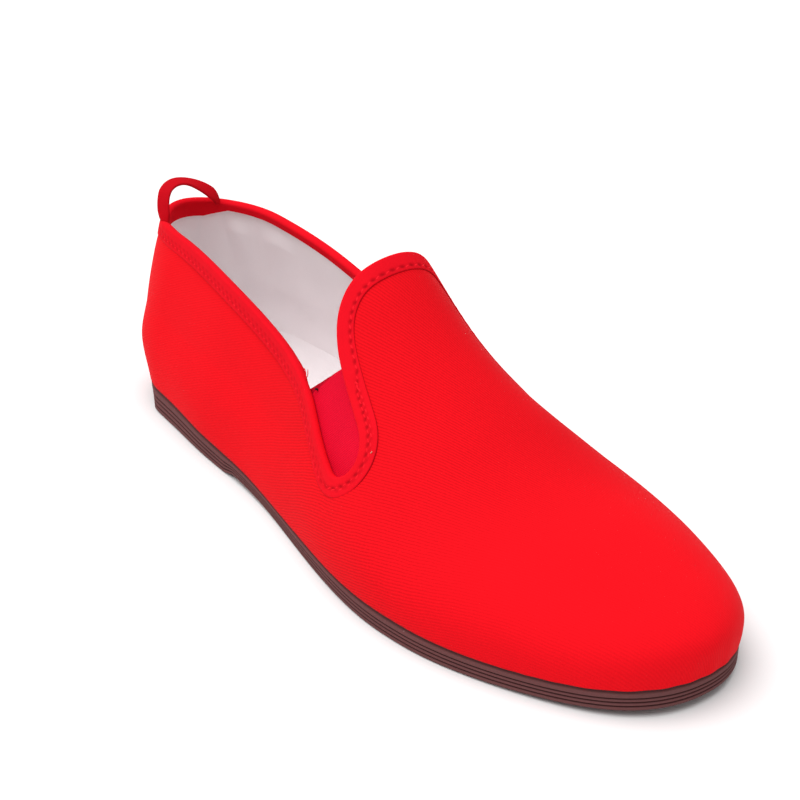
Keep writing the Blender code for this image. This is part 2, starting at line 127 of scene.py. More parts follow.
# Height of the tape's cut edge as a share of its lift, what it gains on the vamp, and how round it lies
CUT_RISE, CUT_GAIN, TAPE_CROWN = 0.32, 0.18, 0.8
FOLD_ANGLES, INNER_SHARES = (65, 40, 15, -15, -40, -65), (0.0, 0.35, 0.7, 1.0)

GORE_MOUTH, GORE_FOOT = (134.6, 51.4), (160.2, 29.8)
GORE_HALF, GORE_MARGIN, GORE_SKEW = 9.0, 4.0, 1.9
GORE_ROUND, GORE_END, GORE_ROWS, GORE_LANES = 3.5, 0.985, 260, 25
GORE_WALL, GORE_DEPTH, GORE_BOW, GORE_RIB = 0.8, 1.62, 0.5, 0.07

# The pull loop's middle line across the heel, a row for each bend
# Columns: along, across, height, turn of the tape's width from the shoe's length in degrees
LOOP_ROWS = ((15.4, -14.7, 64.6, 25), (14.2, -14.5, 67.8, 25), (12.5, -13.6, 72.2, 25),
             (10.9, -11.2, 74.6, 18), (9.8, -7.4, 75.9, 12), (9.4, -3.4, 75.6, 14),
             (9.6, 0.6, 74.1, 28), (10.2, 4.6, 71.8, 45), (11.1, 8.2, 68.4, 58), (11.1, 9.6, 65.6, 58))
LOOP_STATIONS, LOOP_SIDES, LOOP_SQUARENESS = 90, 28, 0.45
# The pull loop's tape is darker than the collar tape, as painted shade
LOOP_GATHER, LOOP_FOOT, LOOP_SHADE = 5.0, 0.45, 0.72

# Soft creases of the canvas: from and to (place along, turn round the section), side, half width
# and depth, a trough below zero and a ridge above it
CREASE_COLUMNS = ("start", "end", "side", "half_width", "depth")
CREASE_ROWS = (
    ((0.16, 0.52), (0.42, 0.46), LATERAL, 6.0, -0.45),
    ((0.16, 0.52), (0.42, 0.46), MEDIAL, 6.0, -0.45),
    ((0.60, 0.34), (0.69, 0.16), LATERAL, 7.0, 0.35),
    ((0.60, 0.34), (0.69, 0.16), MEDIAL, 7.0, 0.35),
    ((0.66, 0.46), (0.73, 0.26), LATERAL, 6.0, -0.35),
    ((0.66, 0.46), (0.73, 0.26), MEDIAL, 6.0, -0.35),
    ((0.72, 0.62), (0.71, 0.99), LATERAL, 8.0, -0.30),
    ((0.72, 0.62), (0.71, 0.99), MEDIAL, 8.0, -0.30),
    ((0.30, 0.10), (0.42, 0.20), LATERAL, 8.0, -0.40),
    ((0.06, 0.16), (0.12, 0.44), LATERAL, 7.0, 0.30),
)
CREASE_END = 0.15

# The collar's sag at the lateral foot of the pull loop, by distance round the heel and by height
HEEL_CENTRE, HEEL_ARC = 34.0, 30.0
SAG_PLACE, SAG_HALF, SAG_DEPTH = -16.0, 8.0, 3.2
SAG_FOOT, SAG_TALL, SAG_TOP, SAG_FADE = 44.0, 22.0, 74.0, 6.0

# Meshing of the canvas and the lining
# Columns: stations along the collar, stations along the tab, rows under the slot, columns of the vamp
CANVAS_GRID, LINING_GRID = (120, 110, 40, 108), (150, 60, 24, 50)
CANVAS_FOOT, LINING_FOOT, LINING_CLEAR = 0.05, 0.3, 0.05
EDGE_FINE, VAMP_CROWDING, TOE_EVEN = 3000, 1.3, 0.5
MERGE, SHARP_ANGLE, SOLE_SHARP = 0.02, 50.0, 60.0


def spline(knots, values):
    """Natural cubic curve through the values, as a function of the knot."""
    knots = np.asarray(knots, float)
    values = np.asarray(values, float).reshape(len(knots), -1)
    step = np.diff(knots)[:, None]
    slope = np.diff(values, axis=0) / step
    count = len(knots)
    matrix = np.eye(count)
    right = np.zeros_like(values)
    for k in range(1, count - 1):
        matrix[k, k - 1:k + 2] = step[k - 1, 0], 2 * (step[k - 1, 0] + step[k, 0]), step[k, 0]
        right[k] = 6 * (slope[k] - slope[k - 1])
    bend = np.linalg.solve(matrix, right)

    def curve(place):
        place = np.asarray(place, float)
        k = np.clip(np.searchsorted(knots, place, side="right") - 1, 0, count - 2)
        run = step[k]
        ahead = (knots[k + 1] - place)[..., None]
        behind = (place - knots[k])[..., None]
        low, high = bend[k], bend[k + 1]
        value = (low * ahead ** 3 + high * behind ** 3) / (6 * run)
        value += (values[k] / run - low * run / 6) * ahead
        value += (values[k + 1] / run - high * run / 6) * behind
        return value[..., 0] if values.shape[1] == 1 else value

    return curve


def path_through(points):
    """Smooth path through points, spaced by their chords; returns the curve and its knots."""
    points = np.asarray(points, float)
    chords = np.linalg.norm(np.diff(points, axis=0), axis=1)
    knots = np.concatenate([[0.0], np.cumsum(chords)])
    return spline(knots, points), knots


def run_of(points):
    """Distance along a line of points."""
    steps = np.linalg.norm(np.diff(points, axis=0), axis=1)
    return np.concatenate([[0.0], np.cumsum(steps)])


def unit(vectors):
    """Rows of vectors brought to length one."""
    return vectors / np.linalg.norm(vectors, axis=1)[:, None]


LAST = {name: spline([row[0] for row in LAST_ROWS], [row[k] for row in LAST_ROWS])
        for k, name in enumerate(LAST_COLUMNS) if k}


def rounding(reach, fullness):
    """Share of the full width left at a reach (0 to 1) into a rounded end."""
    return np.maximum(1 - np.clip(reach, 0, 1) ** fullness, 0) ** (1 / fullness)


def half_width(place, side):
    """Half width of the plan at a place along the length."""
    full = LAST["lateral"](place) if side == LATERAL else LAST["medial"](place)
    heel = rounding(1 - place / HEEL_ROUND, HEEL_FULLNESS)
    toe = rounding((place - 1 + TOE_ROUND) / TOE_ROUND, TOE_FULLNESS)
    return full * heel * toe


def ridge_height(place):
    """Height of the last's ridge, dropping over the toe to a short upright front."""
    front = LAST["seat"](place) + TOE_FRONT
    drop = rounding((place - 1 + TOE_DROP) / TOE_DROP, TOE_DROP_FULLNESS)
    return front + (LAST["ridge"](place) - front) * drop


def swell_share(height):
    """Share of the wall's outward swell at a height above the seat."""
    return np.sin(np.pi * np.clip(height / SWELL_TALL, 0, 1))


def heel_low(above):
    """Share of the heel's set-in at a height above the seat."""
    return 0.5 + 0.5 * np.cos(np.pi * np.clip(above / HEEL_SET_TALL, 0, 1))


def end_shift(place, height):
    """Shift along the shoe: the heel's back sets in, bulges and leans, the toe swells over the sole."""
    tall = (height - HEEL_FOOT) / HEEL_TALL
    above = height - LAST["seat"](place)
    back = HEEL_LEAN * tall ** 2 - 4 * HEEL_BULGE * tall * (1 - tall)
    back = back + HEEL_SET * heel_low(above)
    toe = SWELL * swell_share(above)
    near_heel = np.clip(1 - place / HEEL_REACH, 0, 1) ** 2
    near_toe = np.clip((place - 1 + TOE_ROUND) / TOE_ROUND, 0, 1) ** 2
    return near_heel * back + near_toe * toe


def turn_at(place, height):
    """Turn round the section (0 at the seat, 1 at the ridge) of a height on the wall."""
    seat = LAST["seat"](place)
    share = np.clip((height - seat) / (ridge_height(place) - seat), 0, 1)
    return np.arcsin(share ** (LAST["wall"](place) / 2)) * 2 / np.pi


def skin(place, turn, side):
    """Point of the shoe's outer surface."""
    place, turn = np.broadcast_arrays(np.asarray(place, float), np.asarray(turn, float))
    angle = turn * np.pi / 2
    seat = LAST["seat"](place)
    height = seat + (ridge_height(place) - seat) * np.sin(angle) ** (2 / LAST["wall"](place))
    wide = half_width(place, side)
    pinch = HEEL_PINCH * heel_low(height - seat) * np.clip(1 - place / PINCH_REACH, 0, 1) ** 2
    swell = SWELL * swell_share(height - seat)
    wide = wide + swell * wide / (wide + SWELL) - pinch * wide ** 2 / (wide ** 2 + PINCH_ROUND ** 2)
    across = side * wide * np.maximum(np.cos(angle), 0) ** (2 / LAST["crown"](place))
    return np.stack([place * LENGTH + end_shift(place, height), across, height], axis=-1)


edge_curve, edge_knots = path_through(
    COLLAR_ROWS + SLOT_ROWS + TAB_ROWS + ((TAB_TOP, float(ridge_height(TAB_TOP / LENGTH))),))
SLOT_FOOT = edge_knots[len(COLLAR_ROWS) + SLOT_ROWS.index(min(SLOT_ROWS, key=lambda row: row[1]))]


def edge_stations(start, stop, count):
    """Places and turns along the canvas edge between two runs of it, even in space."""
    sweep = 0.5 - 0.5 * np.cos(np.linspace(0, np.pi, EDGE_FINE))
    line = edge_curve(start + (stop - start) * sweep)
    place = line[:, 0] / LENGTH
    turn = turn_at(place, line[:, 1])
    run = run_of(skin(place, turn, LATERAL))
    stops = np.linspace(0, run[-1], count + 1)
    return np.stack([np.interp(stops, run, place), np.interp(stops, run, turn)], axis=-1)


FINE_PLACES = np.linspace(0, 1, 4001)
ORIGIN = np.array([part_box("outsole")[0].x / MM - end_shift(0.0, LAST["seat"](0.0)),
                   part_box("outsole")[0].y / MM + half_width(FINE_PLACES, LATERAL).max(), 0.0])


class Cloth:
    """Lie of the cloth on the shoe: distances along it and round it, in metres.

    Behind the toe the cloth lies straight along the ridge and round the sections, from the ridge on
    the vamp and from the sole on the quarters. Over the toe it spreads from a point of the ridge in
    all directions, as a cloth drawn over a dome does.
    """

    PLACES, TURNS, QUARTER_EASE = 240, 161, 0.17
    TOE_POINT, TOE_BLEND = 195.0, 40.0
    RAYS, REACHES, CAST_HEIGHT, FARTHEST = 121, 90, 120.0, 90.0

    def __init__(self, surface):
        self.places = np.linspace(0, 1, self.PLACES)
        self.turns = np.linspace(0, 1, self.TURNS)
        ridge = np.stack([self.places * LENGTH, LAST["ridge"](self.places)], axis=-1)
        self.along = run_of(ridge)
        self.up, self.vamp_girth, self.quarter_girth = {}, {}, {}
        foot = edge_curve(SLOT_FOOT)[0] / LENGTH
        behind = np.clip(foot - self.places, 0, self.QUARTER_EASE)
        for side in (LATERAL, MEDIAL):
            grid = skin(self.places[:, None], self.turns[None], side)
            steps = np.linalg.norm(np.diff(grid, axis=1), axis=2)
            total = np.concatenate([np.zeros((self.PLACES, 1)), np.cumsum(steps, axis=1)], axis=1)
            girth = total[:, -1]
            slope = np.interp(foot, self.places, np.gradient(girth, self.places))
            self.up[side] = total
            self.vamp_girth[side] = girth
            self.quarter_girth[side] = (np.interp(foot, self.places, girth)
                                        - slope * (behind - behind ** 2 / (2 * self.QUARTER_EASE)))
        self.spread_toe(surface)

    def spread_toe(self, surface):
        """Table of surface distances and heights over the toe, by direction and share of the reach."""
        self.rays = np.linspace(-np.pi / 2, np.pi / 2, self.RAYS)
        self.shares = np.sin(np.linspace(0, np.pi / 2, self.REACHES))
        self.reach = np.zeros(self.RAYS)
        self.toe_run = np.zeros((self.RAYS, self.REACHES))
        self.toe_top = np.zeros((self.RAYS, self.REACHES))
        for k, angle in enumerate(self.rays):
            way = np.array([np.cos(angle), np.sin(angle)])
            low, high = 0.0, self.FARTHEST
            while high - low > 0.002:
                middle = (low + high) / 2
                hit = surface.height(way * middle + (self.TOE_POINT, 0.0), self.CAST_HEIGHT)
                low, high = (low, middle) if hit is None else (middle, high)
            self.reach[k] = low
            flat = self.shares * low
            tops = [surface.height(way * spot + (self.TOE_POINT, 0.0), self.CAST_HEIGHT) for spot in flat]
            self.toe_top[k] = tops
            self.toe_run[k] = run_of(np.column_stack([flat, tops]))

    def toe_lie(self, points):
        """Lie of points over the toe, spread from the toe point."""
        ahead, across, height = (points - (self.TOE_POINT, 0.0, 0.0)).T
        angle = np.arctan2(across, np.maximum(ahead, 0))
        i = np.clip((angle / np.pi + 0.5) * (self.RAYS - 1), 0, self.RAYS - 1.001)
        low_i = i.astype(int)
        share_i = i - low_i
        reach = self.reach[low_i] * (1 - share_i) + self.reach[low_i + 1] * share_i
        out = np.clip(np.hypot(np.maximum(ahead, 0), across) / reach, 0, 1)
        j = np.clip(np.arcsin(out) * 2 / np.pi * (self.REACHES - 1), 0, self.REACHES - 1.001)
        low_j = j.astype(int)
        share_j = j - low_j
        run = 0
        for step_i, part_i in ((0, 1 - share_i), (1, share_i)):
            for step_j, part_j in ((0, 1 - share_j), (1, share_j)):
                spot = low_i + step_i, low_j + step_j
                run = run + part_i * part_j * (self.toe_run[spot] + self.toe_top[spot])
        run = run - height
        start = np.interp(self.TOE_POINT / LENGTH, self.places, self.along)
        return np.stack([start + run * np.cos(angle), run * np.sin(angle)], axis=-1) * MM

    def lie(self, place, turn, side, quarter):
        """Distances along the cloth and round it, medial side positive."""
        place, turn = np.broadcast_arrays(place, turn)
        points = skin(place, turn, side)
        blend = np.clip((points[..., :1] - self.TOE_POINT) / self.TOE_BLEND, 0, 1)
        blend = blend * blend * (3 - 2 * blend)
        toe = self.toe_lie(points.reshape(-1, 3)).reshape(*place.shape, 2)
        return (1 - blend) * self.straight_lie(place, turn, side, quarter) + blend * toe

    def straight_lie(self, place, turn, side, quarter):
        """Lie behind the toe."""
        i = np.clip(place * (self.PLACES - 1), 0, self.PLACES - 1.001)
        j = np.clip(turn * (self.TURNS - 1), 0, self.TURNS - 1.001)
        low_i, low_j = i.astype(int), j.astype(int)
        share_i, share_j = i - low_i, j - low_j
        table = self.up[side]
        near = table[low_i, low_j] * (1 - share_j) + table[low_i, low_j + 1] * share_j
        far = table[low_i + 1, low_j] * (1 - share_j) + table[low_i + 1, low_j + 1] * share_j
        up = near * (1 - share_i) + far * share_i
        girths = self.quarter_girth if quarter else self.vamp_girth
        girth = np.interp(place, self.places, girths[side])
        return np.stack([np.interp(place, self.places, self.along), side * (girth - up)], axis=-1) * MM


class Skin:
    """Outer surface as a fine mesh, to find the nearest point and the way out of it."""

    COLUMNS, ROWS = 260, 161

    def __init__(self):
        place = 0.5 - 0.5 * np.cos(np.linspace(0, np.pi, self.COLUMNS))[:, None]
        turn = np.linspace(0, 2, self.ROWS)[None]
        near = skin(place, np.minimum(turn, 1), LATERAL)
        far = skin(place, np.minimum(2 - turn, 1), MEDIAL)
        grid = np.where((turn < 1)[..., None], near, far)
        faces = grid_faces(self.COLUMNS, self.ROWS)[:, ::-1]
        self.tree = BVHTree.FromPolygons(grid.reshape(-1, 3).tolist(), faces.tolist())

    def nearest(self, point):
        spot, way, _, _ = self.tree.find_nearest(Vector(point))
        return np.array(spot), np.array(way)

    def offset(self, point, out):
        """Nearest point of the surface, moved out along its normal."""
        spot, way = self.nearest(point)
        return spot + out * way

    def height(self, plan, top):
        """Height of the surface under a point of the plan, or None beside the shoe."""
        spot = self.tree.ray_cast(Vector((*plan, top)), Vector((0.0, 0.0, -1.0)))[0]
        return None if spot is None else spot.z


def grid_faces(rows, columns, start=0, closed=False, flip=False):
    """Quads of a grid of points stored row by row."""
    i = np.arange(rows - 1)[:, None]
    j = np.arange(columns if closed else columns - 1)[None]
    k = (j + 1) % columns
    corners = (i * columns + j, i * columns + k, (i + 1) * columns + k, (i + 1) * columns + j)
    faces = start + np.stack(corners, axis=-1).reshape(-1, 4)
    return faces[:, ::-1] if flip else faces


def tube_faces(rows, sides):
    """Faces of a tube, with one over each of its ends."""
    faces = [tuple(face) for face in grid_faces(rows, sides, closed=True)]
    last = (rows - 1) * sides
    return faces + [tuple(range(sides)), tuple(range(last, last + sides))[::-1]]


def round_heel(points):
    """Distance round the heel from its back, medial side positive."""
    along, across = points[..., 0], points[..., 1]
    arc = HEEL_ARC * np.arctan2(across, np.maximum(HEEL_CENTRE - along, MERGE))
    return arc + np.sign(across) * np.maximum(along - HEEL_CENTRE, 0)


def settle(points):
    """Points let down with the collar, which sags at the lateral foot of the pull loop."""
    settled = np.array(points, float)
    height = settled[..., 2]
    near = np.exp(-((round_heel(settled) - SAG_PLACE) / SAG_HALF) ** 2)
    tall = np.clip((height - SAG_FOOT) / SAG_TALL, 0, 1) ** 2 * np.clip((SAG_TOP - height) / SAG_FADE, 0, 1)
    settled[..., 2] = height - SAG_DEPTH * near * tall
    return settled


def new_piece(name, points, faces, lie=None, marks=None, closed=True, sharp=SHARP_ANGLE):
    """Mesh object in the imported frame, from points in millimetres with their lie on the cloth and marks."""
    mesh = bpy.data.meshes.new(name)
    mesh.from_pydata(((settle(points) + ORIGIN) * MM).tolist(), [], [tuple(f) for f in faces])
    if lie is not None:
        layer = mesh.uv_layers.new(name="cloth")
        corners = np.zeros(len(mesh.loops), np.int32)
        mesh.loops.foreach_get("vertex_index", corners)
        layer.data.foreach_set("uv", np.asarray(lie, np.float32)[corners].ravel())
    for label, values in (marks or {}).items():
        attribute = mesh.attributes.new(label, "FLOAT", "POINT")
        attribute.data.foreach_set("value", np.asarray(values, np.float32))
    shape = bmesh.new()
    shape.from_mesh(mesh)
    bmesh.ops.remove_doubles(shape, verts=shape.verts, dist=MERGE * MM)
    if closed:
        bmesh.ops.recalc_face_normals(shape, faces=shape.faces)
    shape.to_mesh(mesh)
    shape.free()
    mesh.shade_smooth()
    mesh.set_sharp_from_angle(angle=np.radians(sharp))
    piece = bpy.data.objects.new(name, mesh)
    bpy.context.scene.collection.objects.link(piece)
    return piece


def press(piece, lift):
    """Move the points of an open surface along their normals by a lift in millimetres."""
    mesh = piece.data
    places = np.zeros(len(mesh.vertices) * 3, np.float32)
    normals = np.zeros_like(places)
    mesh.vertices.foreach_get("co", places)
    mesh.vertex_normals.foreach_get("vector", normals)
    places, normals = places.reshape(-1, 3), normals.reshape(-1, 3)
    moved = places + normals * (lift(places / MM - ORIGIN) * MM)[:, None]
    mesh.vertices.foreach_set("co", moved.astype(np.float32).ravel())
    mesh.update()


def thicken(piece, thickness):
    """Give an open surface its wall, inwards, thickness in millimetres."""
    shell = piece.modifiers.new("wall", "SOLIDIFY")
    shell.thickness = thickness * MM
    shell.offset = -1.0
    shell.use_even_offset = True


def finish_piece(piece, slot, material, *nodes):
    """Give a piece its material and its body, and hide the solids that it stands for. The slot is not used.
    """
    piece.data.materials.clear()
    piece.data.materials.append(material)
    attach(piece, BODY)
    if nodes:
        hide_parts(*nodes)


class SlipOnSizes(PropertyGroup):
    """Sizes that a user would change."""

    canvas_wall: FloatProperty(name="Canvas", description="Thickness of the canvas",
                               default=0.0010, unit="LENGTH")
    lining_wall: FloatProperty(name="Lining", description="Thickness of the lining",
                               default=0.00045, unit="LENGTH")
    twill_pitch: FloatProperty(name="Twill", description="Distance between the twill lines",
                               default=0.00085, unit="LENGTH")
    twill_angle: FloatProperty(name="Twill angle", description="Turn of the twill lines from the length",
                               default=np.radians(26.5), unit="ROTATION")
    tape_width: FloatProperty(name="Tape", description="Width of the tape on the canvas",
                              default=0.0055, unit="LENGTH")
    tape_lift: FloatProperty(name="Tape lift", description="Height of the tape over the canvas",
                             default=0.0009, unit="LENGTH")
    stitch_length: FloatProperty(name="Stitch", description="Length of a stitch",
                                 default=0.0020, unit="LENGTH")
    stitch_pitch: FloatProperty(name="Stitch pitch", description="Distance between stitches",
                                default=0.0025, unit="LENGTH")
    stitch_thickness: FloatProperty(name="Thread", description="Thickness of the thread",
                                    default=0.00072, unit="LENGTH")
    elastic_pitch: FloatProperty(name="Elastic ribs", description="Distance between ribs of the elastic",
                                 default=0.00065, unit="LENGTH")
    groove_depth: FloatProperty(name="Grooves", description="Depth of the grooves in the sole's edge",
                                default=0.0006, unit="LENGTH")
    loop_width: FloatProperty(name="Loop width", description="Width of the pull loop's tape",
                              default=0.0050, unit="LENGTH")
    loop_thickness: FloatProperty(name="Loop thickness", description="Thickness of the pull loop",
                                  default=0.0012, unit="LENGTH")


class SlipOnColours(PropertyGroup):
    """Colours that a user would change."""

    canvas: FloatVectorProperty(name="Canvas", description="Colour of the twill",
                                default=(0.83, 0.0054, 0.0120), subtype="COLOR")
    tape: FloatVectorProperty(name="Tape", description="Colour of the tape and the pull loop",
                              default=(0.78, 0.0044, 0.0140), subtype="COLOR")
    elastic: FloatVectorProperty(name="Elastic", description="Colour of the side gores",
                                 default=(0.74, 0.0034, 0.0270), subtype="COLOR")
    # The thread's red is its own colour; its extra lightness over the tape is a painted highlight
    thread: FloatVectorProperty(name="Thread", description="Colour of the stitches",
                                default=(0.90, 0.0100, 0.0220), subtype="COLOR")
    lining: FloatVectorProperty(name="Lining", description="Colour of the lining and the insole",
                                default=(0.955, 0.900, 0.910), subtype="COLOR")
    sole: FloatVectorProperty(name="Sole", description="Colour of the rubber",
                              default=(0.135, 0.050, 0.050), subtype="COLOR")
    floor: FloatVectorProperty(name="Floor", description="Colour of the floor",
                               default=(0.88, 0.88, 0.88), subtype="COLOR")


class SlipOnStage(PropertyGroup):
    """Camera and lights."""

    camera_place: FloatVectorProperty(name="Camera", description="Place of the camera",
                                      default=(0.36725, -0.27826, 0.25027), subtype="TRANSLATION")
    camera_aim: FloatVectorProperty(name="Aim", description="Point that the camera looks at",
                                    default=(-0.0060, 0.0080, 0.0330), subtype="TRANSLATION")
    camera_roll: FloatProperty(name="Roll", description="Turn of the camera about its own line of sight",
                               default=np.radians(1.56), unit="ROTATION")
    lens: FloatProperty(name="Lens", description="Focal length in millimetres on a 36 mm sensor",
                        default=73.0, unit="CAMERA")
    sky: FloatProperty(name="Sky", description="Strength of the even light all round", default=0.50)
    key: FloatProperty(name="Key", description="Strength of the broad lamp overhead", default=2.8)
    key_from: FloatVectorProperty(name="Key from", description="Direction that the broad lamp shines from",
                                  default=(-0.10, -0.30, 1.0), subtype="DIRECTION")
    key_spread: FloatProperty(name="Key spread", description="Angle that the broad lamp fills",
                              default=np.radians(70.0), unit="ROTATION")


class Web:
    """A node tree being built: adds nodes and joins their sockets."""

    def __init__(self, tree):
        self.tree = tree

    def add(self, kind, inputs=None, **settings):
        """New node with its settings, and with values or sockets on its inputs."""
        node = self.tree.nodes.new(kind)
        for name, value in settings.items():
            setattr(node, name, value)
        for name, value in (inputs or {}).items():
            self.feed(value, node.inputs[name])
        return node

    def feed(self, value, socket):
        """Join a socket to an input, or set a value on the input."""
        if isinstance(value, bpy.types.NodeSocket):
            self.tree.links.new(value, socket)
        else:
            socket.default_value = value

    def math(self, operation, *values, clamp=False):
        """Result of a sum on sockets or numbers."""
        sums = dict(enumerate(values))
        return self.add("ShaderNodeMath", sums, operation=operation, use_clamp=clamp).outputs[0]

    def mix(self, share, first, second):
        """Colour between two colours."""
        node = self.tree.nodes.new("ShaderNodeMix")
        node.data_type = "RGBA"
        colours = [socket for socket in node.inputs if socket.type == "RGBA"]
        for socket, value in zip((node.inputs[0], *colours), (share, first, second)):
            self.feed(value, socket)
        return next(socket for socket in node.outputs if socket.type == "RGBA")


def new_group(name, inputs, outputs):
    """Empty shader group with named sockets; returns its web, its input sockets and its end node."""
    tree = bpy.data.node_groups.new(name, "ShaderNodeTree")
    for label, kind in inputs:
        tree.interface.new_socket(label, in_out="INPUT", socket_type=kind)
    for label, kind in outputs:
        tree.interface.new_socket(label, in_out="OUTPUT", socket_type=kind)
    web = Web(tree)
    start = web.add("NodeGroupInput")
    end = web.add("NodeGroupOutput")
    return web, start.outputs, end


VECTOR, FLOAT = "NodeSocketVector", "NodeSocketFloat"
TURN = 2 * np.pi


def twill_group():
    """Diagonal ridges of a twill, each broken into short floats of yarn."""
    web, start, end = new_group("Twill lines", [("Cloth", VECTOR), ("Pitch", FLOAT), ("Angle", FLOAT)],
                                [("Height", FLOAT), ("Groove", FLOAT)])
    shade_breakup = web.add("ShaderNodeTexNoise", {"Vector": start["Cloth"], "Scale": 900.0, "Detail": 2.0})
    turned = web.add("ShaderNodeVectorRotate", {"Vector": start["Cloth"], "Angle": start["Angle"]},
                     rotation_type="Z_AXIS", invert=True)
    parts = web.add("ShaderNodeSeparateXYZ", {0: turned.outputs[0]})
    wander = web.add("ShaderNodeTexNoise", {"Vector": start["Cloth"], "Scale": 160.0, "Detail": 3.0})
    sway = web.math("MULTIPLY_ADD", wander.outputs["Fac"], 0.7, -0.35)
    across = web.math("ADD", web.math("DIVIDE", parts.outputs["Y"], start["Pitch"]), sway)
    ridge = web.math("MULTIPLY_ADD", web.math("COSINE", web.math("MULTIPLY", across, TURN)), 0.5, 0.5)
    along = web.math("DIVIDE", parts.outputs["X"], start["Pitch"])
    phase = web.math("MULTIPLY_ADD", along, 0.85 * TURN, web.math("MULTIPLY", across, 0.5 * TURN))
    yarn = web.math("MULTIPLY_ADD", web.math("COSINE", phase), 0.5, 0.5)
    height = web.math("MULTIPLY_ADD", yarn, 0.25, web.math("MULTIPLY", ridge, 0.75))
    web.feed(height, end.inputs["Height"])
    # Groove: mask for painted shade in the grooves between the ridges, broken up by noise
    groove = web.math("POWER", web.math("SUBTRACT", 1.0, ridge), 1.6)
    broken = web.math("MULTIPLY", groove, web.math("MULTIPLY", shade_breakup.outputs["Fac"], 2.0), clamp=True)
    web.feed(broken, end.inputs["Groove"])
    return web.tree


def plain_weave_group():
    """Over and under of a plain weave."""
    web, start, end = new_group("Plain weave", [("Cloth", VECTOR), ("Pitch", FLOAT), ("Stretch", FLOAT)],
                                [("Height", FLOAT)])
    parts = web.add("ShaderNodeSeparateXYZ", {0: start["Cloth"]})
    warp = web.math("DIVIDE", parts.outputs["X"], start["Pitch"])
    weft = web.math("DIVIDE", parts.outputs["Y"], web.math("MULTIPLY", start["Pitch"], start["Stretch"]))
    waves = [web.math("SINE", web.math("MULTIPLY", way, TURN)) for way in (warp, weft)]
    height = web.math("MULTIPLY_ADD", web.math("MULTIPLY", *waves), 0.5, 0.5)
    web.feed(height, end.inputs["Height"])
    return web.tree


def blotch_group():
    """Large soft patches and small fibres of a cloth or a rubber."""
    web, start, end = new_group("Patches and fibres",
                                [("Place", VECTOR), ("Patch", FLOAT), ("Fibre", FLOAT)],
                                [("Patches", FLOAT), ("Fibres", FLOAT)])
    for label, size, detail in (("Patches", "Patch", 3.0), ("Fibres", "Fibre", 4.0)):
        scale = web.math("DIVIDE", 1.0, start[size])
        noise = web.add("ShaderNodeTexNoise", {"Vector": start["Place"], "Scale": scale, "Detail": detail})
        web.feed(noise.outputs["Fac"], end.inputs[label])
    return web.tree


def lint_group():
    """A few small specks of lint and dust, as a mask."""
    web, start, end = new_group("Lint", [("Place", VECTOR), ("Spacing", FLOAT),
                                         ("Size", FLOAT), ("Share", FLOAT)], [("Specks", FLOAT)])
    scale = web.math("DIVIDE", 1.0, start["Spacing"])
    cells = web.add("ShaderNodeTexVoronoi", {"Vector": start["Place"], "Scale": scale})
    chance = web.add("ShaderNodeSeparateColor", {"Color": cells.outputs["Color"]})
    reach = web.math("MULTIPLY", cells.outputs["Distance"], start["Spacing"])
    near = web.math("LESS_THAN", reach, start["Size"])
    picked = web.math("LESS_THAN", chance.outputs["Red"], start["Share"])
    web.feed(web.math("MULTIPLY", near, picked), end.inputs["Specks"])
    return web.tree


GROUPS = {
    "twill": twill_group,
    "weave": plain_weave_group,
    "blotch": blotch_group,
    "lint": lint_group,
}


def effect(web, kind, inputs):
    """A shared effect placed in a material; the group is built at its first use."""
    tree = next((g for g in bpy.data.node_groups if g.get("effect") == kind), None)
    if tree is None:
        tree = GROUPS[kind]()
        tree["effect"] = kind
    return web.add("ShaderNodeGroup", inputs, node_tree=tree).outputs


NAP_ROUGHNESS = 0.35


def new_material(name, roughness, specular, nap=0.0):
    """Material with a plain Principled shader and a nap; returns it, its web and its shader."""
    material = bpy.data.materials.new(name)
    material.use_nodes = True
    web = Web(material.node_tree)
    shader = material.node_tree.nodes["Principled BSDF"]
    shader.inputs["Roughness"].default_value = roughness
    shader.inputs["Specular IOR Level"].default_value = specular
    shader.inputs["Sheen Weight"].default_value = nap
    shader.inputs["Sheen Roughness"].default_value = NAP_ROUGHNESS
    return material, web, shader


def tone(colour, share):
    """Colour made lighter or darker by a share."""
    return (*(channel * share for channel in colour), 1.0)


def lay_bump(web, shader, height, distance, strength):
    """Relief of a height in millimetres on a shader."""
    bump = web.add("ShaderNodeBump", {"Height": height, "Distance": distance * MM, "Strength": strength})
    web.feed(bump.outputs["Normal"], shader.inputs["Normal"])


def cloth_and_place(web):
    """Lie on the cloth and place on the shoe, as sockets."""
    cloth = web.add("ShaderNodeUVMap", uv_map="cloth").outputs[0]
    return cloth, web.add("ShaderNodeTexCoord").outputs["Object"]


# Where the painted shade of the twill lines fades towards the heel and the toe, from and to, and the share
# that is left there
TWILL_FADES, TWILL_LEFT = ((-0.04, 0.02), (0.10, 0.05)), 0.3


